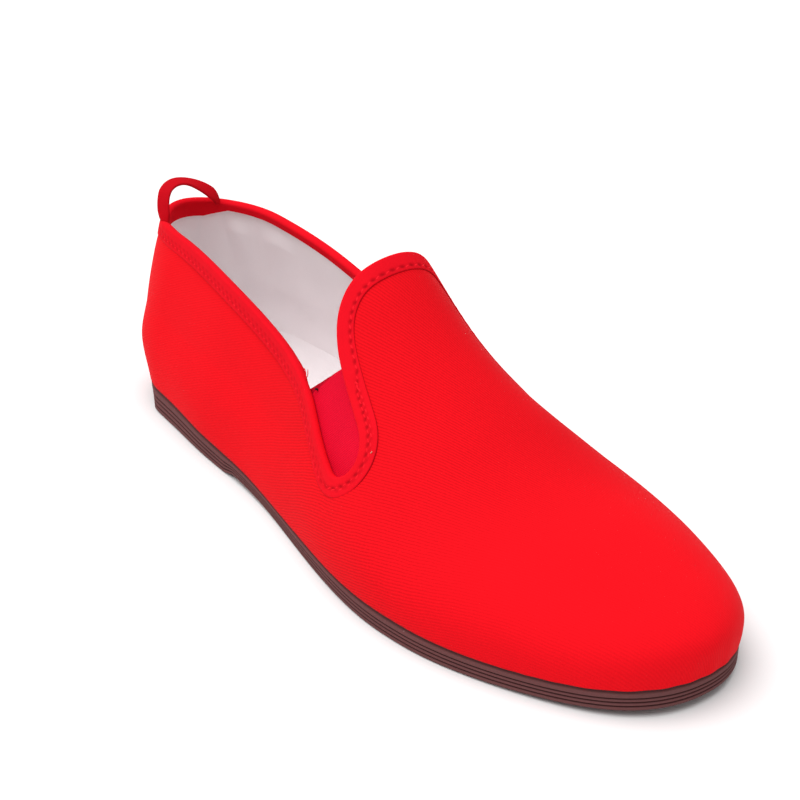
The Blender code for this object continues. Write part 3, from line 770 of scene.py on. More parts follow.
def canvas_material(sizes, colours):
    """Bright red cotton twill with painted shade in the grooves of its twill lines, and a few specks of lint.
    """
    material, web, shader = new_material("red twill canvas", 0.9, 0.04, nap=0.03)
    cloth, place = cloth_and_place(web)
    lines = effect(web, "twill", {"Cloth": cloth, "Pitch": sizes.twill_pitch, "Angle": sizes.twill_angle})
    blotch = effect(web, "blotch", {"Place": place, "Patch": 0.045, "Fibre": 0.0007})
    specks = effect(web, "lint", {"Place": place, "Spacing": 0.009, "Size": 0.00022, "Share": 0.16})
    patches = web.mix(blotch["Patches"], tone(colours.canvas, 0.90), tone(colours.canvas, 1.08))
    fibres = web.mix(web.math("MULTIPLY", blotch["Fibres"], 0.25), patches, tone(colours.canvas, 0.72))
    along = web.add("ShaderNodeSeparateXYZ", {0: place}).outputs["X"]
    fades = [web.add("ShaderNodeMapRange", {"Value": along, "From Min": low, "From Max": high,
                                            "To Min": TWILL_LEFT, "To Max": 1.0},
                     interpolation_type="SMOOTHSTEP").outputs[0] for low, high in TWILL_FADES]
    crisp = web.math("MINIMUM", *fades)
    # Painted shade in the twill's grooves, faded towards the heel and the toe
    drawn = web.math("MULTIPLY", web.math("MULTIPLY", lines["Groove"], 0.50), crisp)
    twill_shaded = web.mix(drawn, fibres, tone(colours.canvas, 0.50))
    linted = web.mix(web.math("MULTIPLY", specks["Specks"], 0.55), twill_shaded, (0.85, 0.45, 0.42, 1.0))
    web.feed(linted, shader.inputs["Base Color"])
    height = web.math("MULTIPLY_ADD", blotch["Fibres"], 0.25, lines["Height"])
    lay_bump(web, shader, height, 0.12, 0.45)
    return material


def tape_material(name, colour, roughness=0.85):
    """Smooth woven tape, with painted shade in the dents between its stitches and a painted shadow along its
    cut edge.
    """
    material, web, shader = new_material(name, roughness, 0.05)
    cloth, place = cloth_and_place(web)
    weave = effect(web, "weave", {"Cloth": cloth, "Pitch": 0.00062, "Stretch": 0.8})
    blotch = effect(web, "blotch", {"Place": place, "Patch": 0.012, "Fibre": 0.0005})
    patches = web.mix(blotch["Patches"], tone(colour, 0.88), tone(colour, 1.10))
    fibres = web.mix(web.math("MULTIPLY", blotch["Fibres"], 0.30), patches, tone(colour, 0.70))
    dent = web.add("ShaderNodeAttribute", attribute_name="dent").outputs["Fac"]
    # The dent mark darkens the tape: painted shade in its dents and a painted shadow on its cut edge
    sewn = web.mix(web.math("MULTIPLY", dent, 0.75), fibres, tone(colour, 0.38))
    web.feed(sewn, shader.inputs["Base Color"])
    height = web.math("MULTIPLY_ADD", blotch["Fibres"], 0.5, weave["Height"])
    lay_bump(web, shader, height, 0.07, 0.5)
    return material


def elastic_material(sizes, colours):
    """Crimson elastic, with painted shade between its ribs, and darker along its upper edge."""
    material, web, shader = new_material("crimson elastic", 0.8, 0.05)
    cloth, place = cloth_and_place(web)
    parts = web.add("ShaderNodeSeparateXYZ", {0: cloth})
    ribs = web.math("COSINE", web.math("MULTIPLY", parts.outputs["X"], TURN / sizes.elastic_pitch))
    groove = web.math("MULTIPLY_ADD", ribs, -0.5, 0.5)
    blotch = effect(web, "blotch", {"Place": place, "Patch": 0.010, "Fibre": 0.0005})
    patches = web.mix(blotch["Patches"], tone(colours.elastic, 0.90), tone(colours.elastic, 1.12))
    # Painted shade between the ribs
    ribbed = web.mix(web.math("MULTIPLY", groove, 0.28), patches, tone(colours.elastic, 0.60))
    edge = web.math("LESS_THAN", parts.outputs["X"], 0.0007)
    edged = web.mix(web.math("MULTIPLY", edge, 0.7), ribbed, tone(colours.elastic, 0.42))
    web.feed(edged, shader.inputs["Base Color"])
    weave = effect(web, "weave", {"Cloth": cloth, "Pitch": sizes.elastic_pitch, "Stretch": 1.0})
    height = web.math("MULTIPLY_ADD", blotch["Fibres"], 0.5, weave["Height"])
    lay_bump(web, shader, height, 0.06, 0.5)
    return material


def lining_material(name, colour, pitch):
    """White cotton, a little grey in patches."""
    material, web, shader = new_material(name, 0.92, 0.08)
    cloth, place = cloth_and_place(web)
    weave = effect(web, "weave", {"Cloth": cloth, "Pitch": pitch, "Stretch": 1.0})
    blotch = effect(web, "blotch", {"Place": place, "Patch": 0.030, "Fibre": 0.0006})
    patches = web.mix(blotch["Patches"], tone(colour, 0.93), tone(colour, 1.05))
    fibres = web.mix(web.math("MULTIPLY", blotch["Fibres"], 0.15), patches, tone(colour, 0.75))
    web.feed(fibres, shader.inputs["Base Color"])
    height = web.math("MULTIPLY_ADD", blotch["Fibres"], 0.6, weave["Height"])
    lay_bump(web, shader, height, 0.05, 0.4)
    return material


def sole_material(colours):
    """Matt brown rubber, with painted shade in its grooves and a painted shadow along its top under the
    canvas, and pale dust on it.
    """
    material, web, shader = new_material("brown moulded rubber", 0.7, 0.06)
    place = web.add("ShaderNodeTexCoord").outputs["Object"]
    groove = web.add("ShaderNodeAttribute", attribute_name="groove").outputs["Fac"]
    blotch = effect(web, "blotch", {"Place": place, "Patch": 0.025, "Fibre": 0.0009})
    specks = effect(web, "lint", {"Place": place, "Spacing": 0.004, "Size": 0.00018, "Share": 0.12})
    patches = web.mix(blotch["Patches"], tone(colours.sole, 0.85), tone(colours.sole, 1.15))
    dusty = web.mix(web.math("MULTIPLY", blotch["Fibres"], 0.16), patches, (0.26, 0.14, 0.14, 1.0))
    # Painted shade in the grooves and painted shadow along the top band under the canvas
    groove_shaded = web.mix(web.math("MULTIPLY", groove, 0.85), dusty, tone(colours.sole, 0.45))
    specked = web.mix(web.math("MULTIPLY", specks["Specks"], 0.3), groove_shaded, (0.42, 0.32, 0.31, 1.0))
    web.feed(specked, shader.inputs["Base Color"])
    rough = web.math("MULTIPLY_ADD", blotch["Patches"], 0.25, 0.55)
    web.feed(rough, shader.inputs["Roughness"])
    lay_bump(web, shader, blotch["Fibres"], 0.06, 0.35)
    return material


def thread_material(name, colour, roughness=0.7):
    """Sewing thread with a slight twist of light and dark."""
    material, web, shader = new_material(name, roughness, 0.05)
    place = web.add("ShaderNodeTexCoord").outputs["Object"]
    blotch = effect(web, "blotch", {"Place": place, "Patch": 0.004, "Fibre": 0.0003})
    colour_mix = web.mix(blotch["Fibres"], tone(colour, 0.75), tone(colour, 1.2))
    web.feed(colour_mix, shader.inputs["Base Color"])
    lay_bump(web, shader, blotch["Fibres"], 0.05, 0.5)
    return material


def upper_surface(name, cloth, grid, foot_gap):
    """Quarters and vamp as one open surface, from the sole to the canvas edge."""
    columns, tabs, lows, vamps = grid
    collar = edge_stations(0.0, SLOT_FOOT, columns)
    tab = edge_stations(SLOT_FOOT, edge_knots[-1], tabs)
    points, lies, faces = [], [], []
    for side in (LATERAL, MEDIAL):
        for quarter, (place, turn) in ((True, quarter_lines(collar, lows, foot_gap)),
                                       (False, vamp_lines(tab, lows, vamps, foot_gap))):
            start = sum(len(half) for half in points)
            faces.append(grid_faces(*place.shape, start, flip=side == MEDIAL))
            points.append(skin(place, turn, side).reshape(-1, 3))
            lies.append(cloth.lie(place, turn, side, quarter).reshape(-1, 2))
    joined = (np.concatenate(halves) for halves in (points, faces, lies))
    return new_piece(name, *joined, closed=False)


def quarter_lines(collar, lows, foot_gap):
    """Places and turns of a quarter, from the sole up to the collar."""
    place, edge_turn = collar.T
    seat = LAST["seat"](place) + foot_gap
    top = skin(place, edge_turn, LATERAL)[:, 2]
    share = np.linspace(0, 1, lows + 1)[:, None]
    turn = turn_at(place, seat + (top - seat) * share)
    return np.broadcast_to(place, turn.shape), turn


def vamp_lines(tab, lows, columns, foot_gap):
    """Places and turns of a vamp half, from the slot and the tab's edge forward to the toe."""
    foot_place, foot_turn = tab[0]
    seat = float(LAST["seat"](foot_place)) + foot_gap
    top = skin(foot_place, foot_turn, LATERAL)[2]
    low_turn = turn_at(foot_place, np.linspace(seat, top, lows + 1)[:-1])
    start = np.concatenate([np.full(lows, foot_place), tab[:, 0]])[:, None]
    turn = np.concatenate([low_turn, tab[:, 1]])[:, None]
    rank = np.linspace(0, 1, len(start))[:, None]
    toe_turn = np.arcsin(rank ** (float(LAST["wall"](1.0)) / 2)) * 2 / np.pi
    toe_turn = TOE_EVEN * rank + (1 - TOE_EVEN) * toe_turn
    sweep = np.linspace(0, 1, columns + 1)[None]
    place = start + (1 - start) * np.sin(sweep ** VAMP_CROWDING * np.pi / 2)
    turn = turn + (toe_turn - turn) * sweep * sweep * (3 - 2 * sweep)
    return place, np.maximum(turn, turn_at(place, LAST["seat"](place) + foot_gap))


def crease_lift(points):
    """Lift of the canvas by its soft creases and by the gathers round the toe."""
    lift = np.zeros(len(points))
    for row in CREASE_ROWS:
        crease = dict(zip(CREASE_COLUMNS, row))
        first, last = (skin(*crease[end], crease["side"]) for end in ("start", "end"))
        way = last - first
        share = np.clip(((points - first) @ way) / (way @ way), 0, 1)
        gap = np.linalg.norm(points - first - share[:, None] * way, axis=1)
        fade = np.sin(np.pi * (CREASE_END + (1 - 2 * CREASE_END) * share))
        lift += crease["depth"] * fade * np.exp(-(gap / crease["half_width"]) ** 2)
    return lift + toe_gathers(points) + slack(points)


GATHER_START, GATHER_TALL, GATHER_DEPTH, GATHER_COUNT = 222.0, 7.0, 0.10, 34


def toe_gathers(points):
    """Small gathers where the canvas is drawn in round the toe, just over the sole."""
    along = points[:, 0]
    reach = np.clip((along - GATHER_START) / (LENGTH - GATHER_START), 0, 1)
    angle = np.arctan2(points[:, 1], along - GATHER_START)
    height = points[:, 2] - LAST["seat"](np.clip(along / LENGTH, 0, 1))
    low = np.exp(-(height / GATHER_TALL) ** 2)
    return GATHER_DEPTH * reach * low * np.sin(GATHER_COUNT * angle + 1.7 * np.sin(5 * angle))


SLACK_DEPTH = 0.12


def slack(points):
    """Slow unevenness of a cloth stretched over a last."""
    x, y, z = (points / LENGTH).T * TURN
    waves = np.sin(5 * x + 3 * z) + np.sin(9 * y - 4 * x + 1.3) + np.sin(13 * z + 6 * x + 0.6)
    return SLACK_DEPTH * waves / 3


# Folds of the lining inside the heel, a row for each: distance round the heel at the collar, lean
# per millimetre down, half width and depth, a trough below zero and a ridge above it
FOLD_ROWS = (
    (-12.0, 0.05, 2.2, 0.7),
    (-6.5, -0.05, 1.8, -0.8),
    (-1.0, 0.00, 2.4, 0.7),
    (5.0, 0.10, 2.6, -0.6),
    (12.5, 0.22, 2.4, -1.3),
    (18.0, 0.30, 4.0, 0.9),
    (29.0, 0.25, 4.5, -0.6),
    (43.0, 0.20, 7.0, 0.7),
    (62.0, 0.10, 8.0, -0.6),
)
FOLD_START, FOLD_EASE, FOLD_TALL, FOLD_REST, FOLD_END, FOLD_FADE = 4.5, 5.0, 46.0, 1.0, 90.0, 20.0


def lining_lift(points):
    """Soft upright folds of the lining, deepest under the collar."""
    below = np.interp(points[:, 0], *np.transpose(COLLAR_ROWS)) - points[:, 2]
    down = np.clip(below / FOLD_TALL, 0, 1)
    place = round_heel(points)
    lift = np.zeros(len(points))
    for spot, lean, half, depth in FOLD_ROWS:
        aside = place - spot - lean * down * FOLD_TALL
        lift += depth * np.exp(-(aside / (half * (1 + down))) ** 2)
    fade = np.cos(np.pi / 2 * down) ** 2 * np.clip((FOLD_END - np.abs(place)) / FOLD_FADE, 0, 1)
    fade = fade * np.clip((below - FOLD_START) / FOLD_EASE, 0, 1) ** 2
    return -np.maximum(FOLD_REST + lift, 0) * fade


class SLIPON_OT_canvas(Operator):
    """Make the canvas upper and its lining"""

    bl_idname = "slip_on.canvas"
    bl_label = "Canvas and Lining"
    bl_options = {"REGISTER", "UNDO"}

    def execute(self, context):
        sizes, colours = context.scene.slip_on_sizes, context.scene.slip_on_colours
        cloth = Cloth(Skin())
        canvas = upper_surface("canvas_upper", cloth, CANVAS_GRID, CANVAS_FOOT)
        press(canvas, crease_lift)
        thicken(canvas, sizes.canvas_wall / MM)
        finish_piece(canvas, "canvas", canvas_material(sizes, colours), "upper")

        lining = upper_surface("white_lining", cloth, LINING_GRID, LINING_FOOT)
        depth = sizes.canvas_wall / MM + LINING_CLEAR
        press(lining, lambda points: crease_lift(points) - depth)
        press(lining, lining_lift)
        thicken(lining, sizes.lining_wall / MM)
        finish_piece(lining, "lining", lining_material("white cotton lining", colours.lining, LINING_YARN))
        return {"FINISHED"}


# The tape's two seams: how far they lie onto the canvas and how deep they dent the tape on the
# quarter, beside the gore and on the tab, and the share of a stitch that they start with
SEAMS = (
    {"reach": (3.8, 2.4, 4.2), "dent": (0.18, 0.36, 0.32), "phase": 0.0},
    {"reach": (2.4, 3.4, 2.4), "dent": (0.14, 0.14, 0.00), "phase": 0.5},
)
PITCH_SHARES = (1.2, 1.0, 1.45)
GORE_SHARE, ZONE_BLEND, HEEL_SEAM, QUARTER_SEAM = 0.42, 8, 4, 205
# Half width and slant of the dents, and the dent depth that gets the full painted shade
DENT_HALF, DENT_SLANT, DENT_MARK = 0.55, -0.5, 0.32


def seam_value(values, zone):
    """Value of a seam in a zone of the edge."""
    return np.interp(zone, (0.0, 1.0, 2.0), values)


class TapeLine:
    """The canvas edge all the way round, with the way out of the canvas and the way onto it."""

    def __init__(self, surface, pitch):
        self.surface = surface
        collar = edge_stations(0.0, SLOT_FOOT, TAPE_STATIONS[0])
        tab = edge_stations(SLOT_FOOT, edge_knots[-1], TAPE_STATIONS[1])
        place, turn = np.concatenate([collar, tab[1:]]).T
        lateral, medial = skin(place, turn, LATERAL), skin(place, turn, MEDIAL)
        self.half = len(lateral)
        loop = np.concatenate([lateral, medial[::-1][1:-1]])
        ahead = np.roll(loop, -1, axis=0) - np.roll(loop, 1, axis=0)
        found = [surface.nearest(point) for point in loop]
        self.spots = np.array([spot for spot, _ in found])
        self.outs = np.array([out for _, out in found])
        self.ontos = unit(np.cross(ahead, self.outs))
        self.runs = run_of(np.vstack([loop, loop[:1]]))
        mirror = np.concatenate([np.arange(self.half), np.arange(self.half - 2, 0, -1)])
        self.zones = self.seam_zones()[mirror]
        self.pitches = pitch * seam_value(PITCH_SHARES, self.zones)
        self.phases = np.concatenate([[0.0], np.cumsum(np.diff(self.runs) / self.pitches)])

    def seam_zones(self):
        """Zone of each station: 0 on the quarter, 1 on the vamp beside the gore, 2 on the tab."""
        foot = TAPE_STATIONS[0]
        gore_end = foot + int(GORE_SHARE * TAPE_STATIONS[1])
        knots = (foot - ZONE_BLEND, foot + ZONE_BLEND, gore_end - ZONE_BLEND, gore_end + ZONE_BLEND)
        return np.interp(np.arange(self.half), knots, (0.0, 1.0, 1.0, 2.0))

    def on_row(self, seam, first, last, lift):
        """Places of the stitches of a seam between two stations, with the ways out of the canvas."""
        low, high = self.phases[first] + seam["phase"], self.phases[last] + seam["phase"]
        stops = np.arange(np.ceil(low), np.floor(high) + 1) - seam["phase"]
        reaches = seam_value(seam["reach"], self.zones)
        rows = np.array([self.point(k, reach, lift) for k, reach in enumerate(reaches)])
        return [np.stack([np.interp(stops, self.phases[:-1], column) for column in values.T], axis=-1)
                for values in (rows, self.outs)]

    def point(self, k, reach, lift):
        """Point over the canvas or past its edge, beside a station of the line."""
        if reach > 0:
            return self.surface.offset(self.spots[k] + self.ontos[k] * reach, lift)
        return self.spots[k] + self.ontos[k] * reach + self.outs[k] * lift


def lip_shares(point):
    """How far the tape folds in behind the canvas and how deep, from 0 along the gore to 1 past it."""
    mouth, foot = np.array(GORE_MOUTH), np.array(GORE_FOOT)
    axis = (foot - mouth) / np.linalg.norm(foot - mouth)
    run = float((point[[0, 2]] - mouth) @ axis)
    if point[0] < GORE_MOUTH[0] / 2:
        return 1.0, 1.0
    return [float(np.clip((none - run) / (none - full), 0, 1)) for full, none in (LIP_REACH, LIP_DEPTH)]


def seam_dent(spot, phase, zone, pitch):
    """Depth of the dents between the stitches at a reach and a share of the stitches."""
    total = 0.0
    for seam in SEAMS:
        aside = spot - seam_value(seam["reach"], zone)
        turn = TURN * (phase + DENT_SLANT * aside / pitch + seam["phase"])
        pulled = 0.15 + 0.85 * (0.5 - 0.5 * np.cos(turn)) ** 1.5
        total += seam_value(seam["dent"], zone) * pulled * np.exp(-(aside / DENT_HALF) ** 2)
    return float(total)


def tape_ring(line, k, width, lift):
    """Section of the tape at a station, all the way round: reach onto the canvas, height over it, dent, which
    also marks painted shade.
    """
    reach, depth = lip_shares(line.spots[k])
    zone = line.zones[k]
    inner_width = np.interp(round_heel(line.spots[k]), HEEL_INNER_RUN,
                            (TAPE_INNER, HEEL_INNER, HEEL_INNER, TAPE_INNER))
    inner = -WALL - depth * lift
    middle, half = (lift + inner) / 2, (lift - inner) / 2
    edge = lift * (CUT_RISE + CUT_GAIN * min(zone, 1.0))
    # The cut edge's side face gets the full mark, a painted shadow along the edge
    ring = [(width, -0.05, DENT_MARK), (width, 0.5 * edge, DENT_MARK), (width - 0.2, 0.92 * edge, 0.0)]
    for spot in np.linspace(width - 0.5, 0, TAPE_LANES):
        rise = edge + (lift - edge) * (1 - spot / width) ** TAPE_CROWN
        dent = seam_dent(spot, line.phases[k], zone, line.pitches[k])
        ring.append((spot, rise - dent, dent))
    for angle in np.radians(FOLD_ANGLES):
        ring.append((-lift * np.cos(angle), middle + half * np.sin(angle), 0.0))
    inner_end = reach * inner_width - (1 - reach) * LIP_CLEAR
    for share in INNER_SHARES:
        ring.append((share * inner_end, inner, 0.0))
    rest = -WALL + (1 - depth) * 0.5 - depth * 0.04
    ring += [(inner_end, rest, 0.0), (-FOLD_CLEAR, rest, 0.0), (-FOLD_CLEAR, 0.02, 0.0)]
    return ring


class SLIPON_OT_tape(Operator):
    """Make the tape folded over the canvas edge"""

    bl_idname = "slip_on.tape"
    bl_label = "Collar Tape"
    bl_options = {"REGISTER", "UNDO"}

    def execute(self, context):
        sizes, colours = context.scene.slip_on_sizes, context.scene.slip_on_colours
        line = TapeLine(Skin(), sizes.stitch_pitch / MM)
        width, lift = sizes.tape_width / MM, sizes.tape_lift / MM
        points, lies, dents = [], [], []
        count = len(line.spots)
        for k in range(count):
            ring = tape_ring(line, k, width, lift)
            spots = np.array([line.point(k, reach, rise) for reach, rise, _ in ring])
            points.append(spots)
            lies.append(np.column_stack([np.full(len(ring), line.runs[k]), run_of(spots)]) * MM)
            # Mark for the painted shade in the dents and the painted shadow on the cut edge
            dents += [min(dent / DENT_MARK, 1.0) for _, _, dent in ring]
        size = len(points[0])
        faces = grid_faces(count, size, closed=True)
        last = (count - 1) * size
        j = np.arange(size)
        k = (j + 1) % size
        faces = np.concatenate([faces, np.stack([last + j, last + k, k, j], axis=-1)])
        tape = new_piece("collar_tape", np.concatenate(points), faces,
                         np.concatenate(lies), {"dent": dents})
        finish_piece(tape, "tape", tape_material("red woven tape", colours.tape), "collar_binding")
        return {"FINISHED"}


def gore_panel(name, side, surface, sizes):
    """Elastic panel as an open surface, ribbed across and bowed in a little."""
    mouth, foot = np.array(GORE_MOUTH), np.array(GORE_FOOT)
    axis = foot - mouth
    length = np.linalg.norm(axis)
    axis = axis / length
    across = np.array([-axis[1], axis[0]])
    points, lies = [], []
    for run in np.linspace(0, GORE_END, GORE_ROWS):
        half = (GORE_HALF + GORE_MARGIN) * (1 - run ** GORE_ROUND) ** (1 / GORE_ROUND)
        for lane in np.linspace(-1, 1, GORE_LANES):
            down = run * (length + GORE_MARGIN) + GORE_SKEW * lane * (1 - run)
            rib = GORE_RIB * np.cos(TURN * down * MM / sizes.elastic_pitch)
            flat = mouth + axis * down + across * lane * half
            place = flat[0] / LENGTH
            point = skin(place, turn_at(place, flat[1]), side)
            bow = GORE_BOW * max(1 - (lane * half / GORE_HALF) ** 2, 0.0)
            points.append(surface.offset(point, -GORE_DEPTH - bow + rib))
            lies.append((down * MM, lane * half * MM))
    faces = grid_faces(GORE_ROWS, GORE_LANES, flip=side == LATERAL)
    return new_piece(name, points, faces, lies, closed=False)


class SLIPON_OT_gores(Operator):
    """Make the two elastic panels behind the slots"""

    bl_idname = "slip_on.gores"
    bl_label = "Elastic Gores"
    bl_options = {"REGISTER", "UNDO"}

    def execute(self, context):
        sizes, colours = context.scene.slip_on_sizes, context.scene.slip_on_colours
        material = elastic_material(sizes, colours)
        surface = Skin()
        for node, side in (("gore_lateral", LATERAL), ("gore_medial", MEDIAL)):
            piece = gore_panel(node + "_elastic", side, surface, sizes)
            thicken(piece, GORE_WALL)
            finish_piece(piece, "elastic", material, node)
        return {"FINISHED"}


def set_in(loop, distance):
    """Plan moved in square to itself."""
    ahead = unit(np.roll(loop, -1, axis=0) - np.roll(loop, 1, axis=0))
    return loop + np.asarray(distance)[..., None] * np.stack([-ahead[:, 1], ahead[:, 0]], axis=-1)


def outline(places):
    """Plan of the sole: up the lateral side from heel to toe and back down the medial side."""
    lateral, medial = (skin(places, 0.0, side)[:, :2] for side in (LATERAL, MEDIAL))
    return np.concatenate([lateral, medial[1:-1][::-1]])


def stations(count, extra=()):
    """Places along the length, closer at both ends, with any extra ones put in."""
    places = 0.5 - 0.5 * np.cos(np.linspace(0, np.pi, count))
    keep = [p for p in places if all(abs(p - q) > 0.25 / count for q in extra)]
    return np.array(sorted([*keep, *extra]))


def tread_height(along):
    """Underside of the sole: flat heel, breast, waist, flat forefoot and toe spring."""
    ramp = np.clip((along - BREAST) / BREAST_RUN, 0, 1)
    share = np.clip((TREAD_START - along) / (TREAD_START - BREAST - BREAST_RUN), 0, 1)
    spring = TOE_SPRING * np.clip((along - SPRING_START) / (LENGTH - SPRING_START), 0, 1) ** 2
    return BREAST_STEP * ramp * share ** WAIST_CURVE + spring


def lanes_between(loop, count, lanes):
    """Points across a plan loop from its lateral side to its medial side, a row for each station."""
    lateral = loop[:count]
    medial = np.concatenate([loop[:1], loop[count:][::-1], loop[count - 1:count]])
    share = np.linspace(0, 1, lanes)[None, :, None]
    return lateral[:, None] * (1 - share) + medial[:, None] * share


TREAD_PITCH, TREAD_DEPTH, TREAD_RIM, TREAD_SLANT = 5.2, 0.8, 5.0, 0.35
TREAD_CUT, TREAD_SOFT, RIM_FADE, FOREFOOT_FADE = 0.45, 0.3, 2.0, 6.0


def tread_relief(spots, rim):
    """Shallow chevron grooves of the tread, clear of the sole's rim and of its waist."""
    along, across = spots[..., 0], spots[..., 1]
    wave = np.cos(TURN * (along - TREAD_SLANT * np.abs(across)) / TREAD_PITCH)
    groove = np.clip((wave - TREAD_CUT) / TREAD_SOFT, 0, 1)
    inside = np.clip((rim - TREAD_RIM) / RIM_FADE, 0, 1)
    heel = np.clip((BREAST - TREAD_RIM - along) / RIM_FADE, 0, 1)
    forefoot = np.clip((along - TREAD_START) / FOREFOOT_FADE, 0, 1)
    return TREAD_DEPTH * groove * inside * (heel + forefoot)


class SLIPON_OT_sole(Operator):
    """Make the ribbed rubber sole"""

    bl_idname = "slip_on.sole"
    bl_label = "Rubber Sole"
    bl_options = {"REGISTER", "UNDO"}

    def execute(self, context):
        sizes, colours = context.scene.slip_on_sizes, context.scene.slip_on_colours
        breast = (BREAST / LENGTH, (BREAST + BREAST_RUN) / LENGTH)
        places = stations(SOLE_STATIONS, (*breast, TREAD_START / LENGTH, SPRING_START / LENGTH))
        loop = outline(places)
        along = np.clip(loop[:, 0] / LENGTH, 0, 1)
        top, bottom = LAST["seat"](along), tread_height(loop[:, 0])
        points, marks = [], []
        for share in np.linspace(0, 1, EDGE_SHARES):
            groove = sum(np.exp(-((share - place) / GROOVE_HALF) ** 4) for place in GROOVE_SHARES)
            welt = np.interp(share, WELT_SHARES, (1, 0))
            low = np.clip((share - FOOT_SHARES[0]) / FOOT_SHARES[1], 0, 1)
            rounded = WELT_DEPTH * welt + FOOT_ROUND * low ** 2
            tuck = HEEL_TUCK * share * np.clip(1 - along / HEEL_TUCK_REACH, 0, 1)
            plan = set_in(loop, sizes.groove_depth / MM * groove + rounded + tuck)
            points.append(np.column_stack([plan, top + (bottom - top) * share]))
            # Mark for painted shade in the grooves and a painted shadow along the top band under the canvas
            marks.append(np.full(len(loop), min(groove + welt, 1.0)))
        rows, columns = len(points), len(loop)
        faces = [grid_faces(rows, columns, closed=True)]
        for edge, flip in ((points[0], False), (points[-1], True)):
            grid = lanes_between(edge, len(places), TREAD_LANES)
            rim = np.minimum(grid[..., 1] - grid[:, :1, 1], grid[:, -1:, 1] - grid[..., 1])
            if flip:
                grid[..., 2] += tread_relief(grid, rim)
            faces.append(grid_faces(*grid.shape[:2], sum(len(p) for p in points), flip=flip))
            points.append(grid.reshape(-1, 3))
            marks.append(np.zeros(grid.shape[0] * grid.shape[1]))
        piece = new_piece("ribbed_sole", np.concatenate(points), np.concatenate(faces),
                          marks={"groove": np.concatenate(marks)}, sharp=SOLE_SHARP)
        finish_piece(piece, "sole_rubber", sole_material(colours), "outsole")
        return {"FINISHED"}


class SLIPON_OT_insole(Operator):
    """Make the cloth-covered insole"""

    bl_idname = "slip_on.insole"
    bl_label = "Insole"
    bl_options = {"REGISTER", "UNDO"}

    def execute(self, context):
        colours = context.scene.slip_on_colours
        places = stations(INSOLE_STATIONS)
        loop = outline(places)
        seat = LAST["seat"](np.clip(loop[:, 0] / LENGTH, 0, 1)) + INSOLE_RISE
        points, faces = [], []
        for inset, rise in INSOLE_RIM:
            plan = set_in(loop, np.full(len(loop), inset))
            points.append(np.column_stack([plan, seat + rise]))
        rows, columns = len(points), len(loop)
        faces.append(grid_faces(rows, columns, closed=True, flip=True))
        for edge, flip in ((points[-1], False), (points[0], True)):
            grid = lanes_between(edge, len(places), INSOLE_LANES)
            faces.append(grid_faces(*grid.shape[:2], sum(len(p) for p in points), flip=flip))
            points.append(grid.reshape(-1, 3))
        spots = np.concatenate(points)
        piece = new_piece("cloth_insole", spots, np.concatenate(faces), spots[:, :2] * MM)
        # The lining colour darkened for the insole as painted shade
        material = lining_material("insole cloth", tone(colours.lining, INSOLE_SHADE)[:3], INSOLE_YARN)
        finish_piece(piece, "lining", material, "insole")
        return {"FINISHED"}


class SLIPON_OT_loop(Operator):
    """Make the pull loop over the heel"""

    bl_idname = "slip_on.loop"
    bl_label = "Pull Loop"
    bl_options = {"REGISTER", "UNDO"}

    def execute(self, context):
        sizes, colours = context.scene.slip_on_sizes, context.scene.slip_on_colours
        rows = np.asarray(LOOP_ROWS)
        curve, knots = path_through(rows[:, :3])
        knot = np.linspace(0, knots[-1], EDGE_FINE)
        fine = np.column_stack([curve(knot), spline(knots, np.radians(rows[:, 3]))(knot)])
        run = run_of(fine[:, :3])
        stops = np.linspace(0, run[-1], LOOP_STATIONS)
        fine = np.stack([np.interp(stops, run, column) for column in fine.T], axis=-1)
        line, lie = fine[:, :3], fine[:, 3:]
        ahead = unit(np.gradient(line, axis=0))
        along = np.array([1.0, 0.0, 0.0])
        wide = np.cos(lie) * along + np.sin(lie) * unit(np.cross(ahead, along))
        out = unit(np.cross(wide, ahead))
        gather = np.interp(np.minimum(stops, stops[-1] - stops), (0, LOOP_GATHER), (LOOP_FOOT, 1.0))
        half, thick = sizes.loop_width / MM / 2 * gather[:, None], sizes.loop_thickness / MM / 2
        angles = np.linspace(0, TURN, LOOP_SIDES, endpoint=False)
        flat, tall = (np.sign(f(angles)) * np.abs(f(angles)) ** LOOP_SQUARENESS for f in (np.cos, np.sin))
        points = (line[:, None] + wide[:, None] * (half * flat)[..., None]
                  + out[:, None] * (thick * tall)[None, :, None])
        lies = np.stack(np.broadcast_arrays(stops[:, None], half * flat), axis=-1) * MM
        faces = tube_faces(LOOP_STATIONS, LOOP_SIDES)
        piece = new_piece("heel_pull_loop", points.reshape(-1, 3), faces, lies.reshape(-1, 2))
        # The tape colour darkened for the loop as painted shade
        material = tape_material("pull loop tape", tone(colours.tape, LOOP_SHADE)[:3])
        finish_piece(piece, "tape", material, "pull_loop")
        return {"FINISHED"}


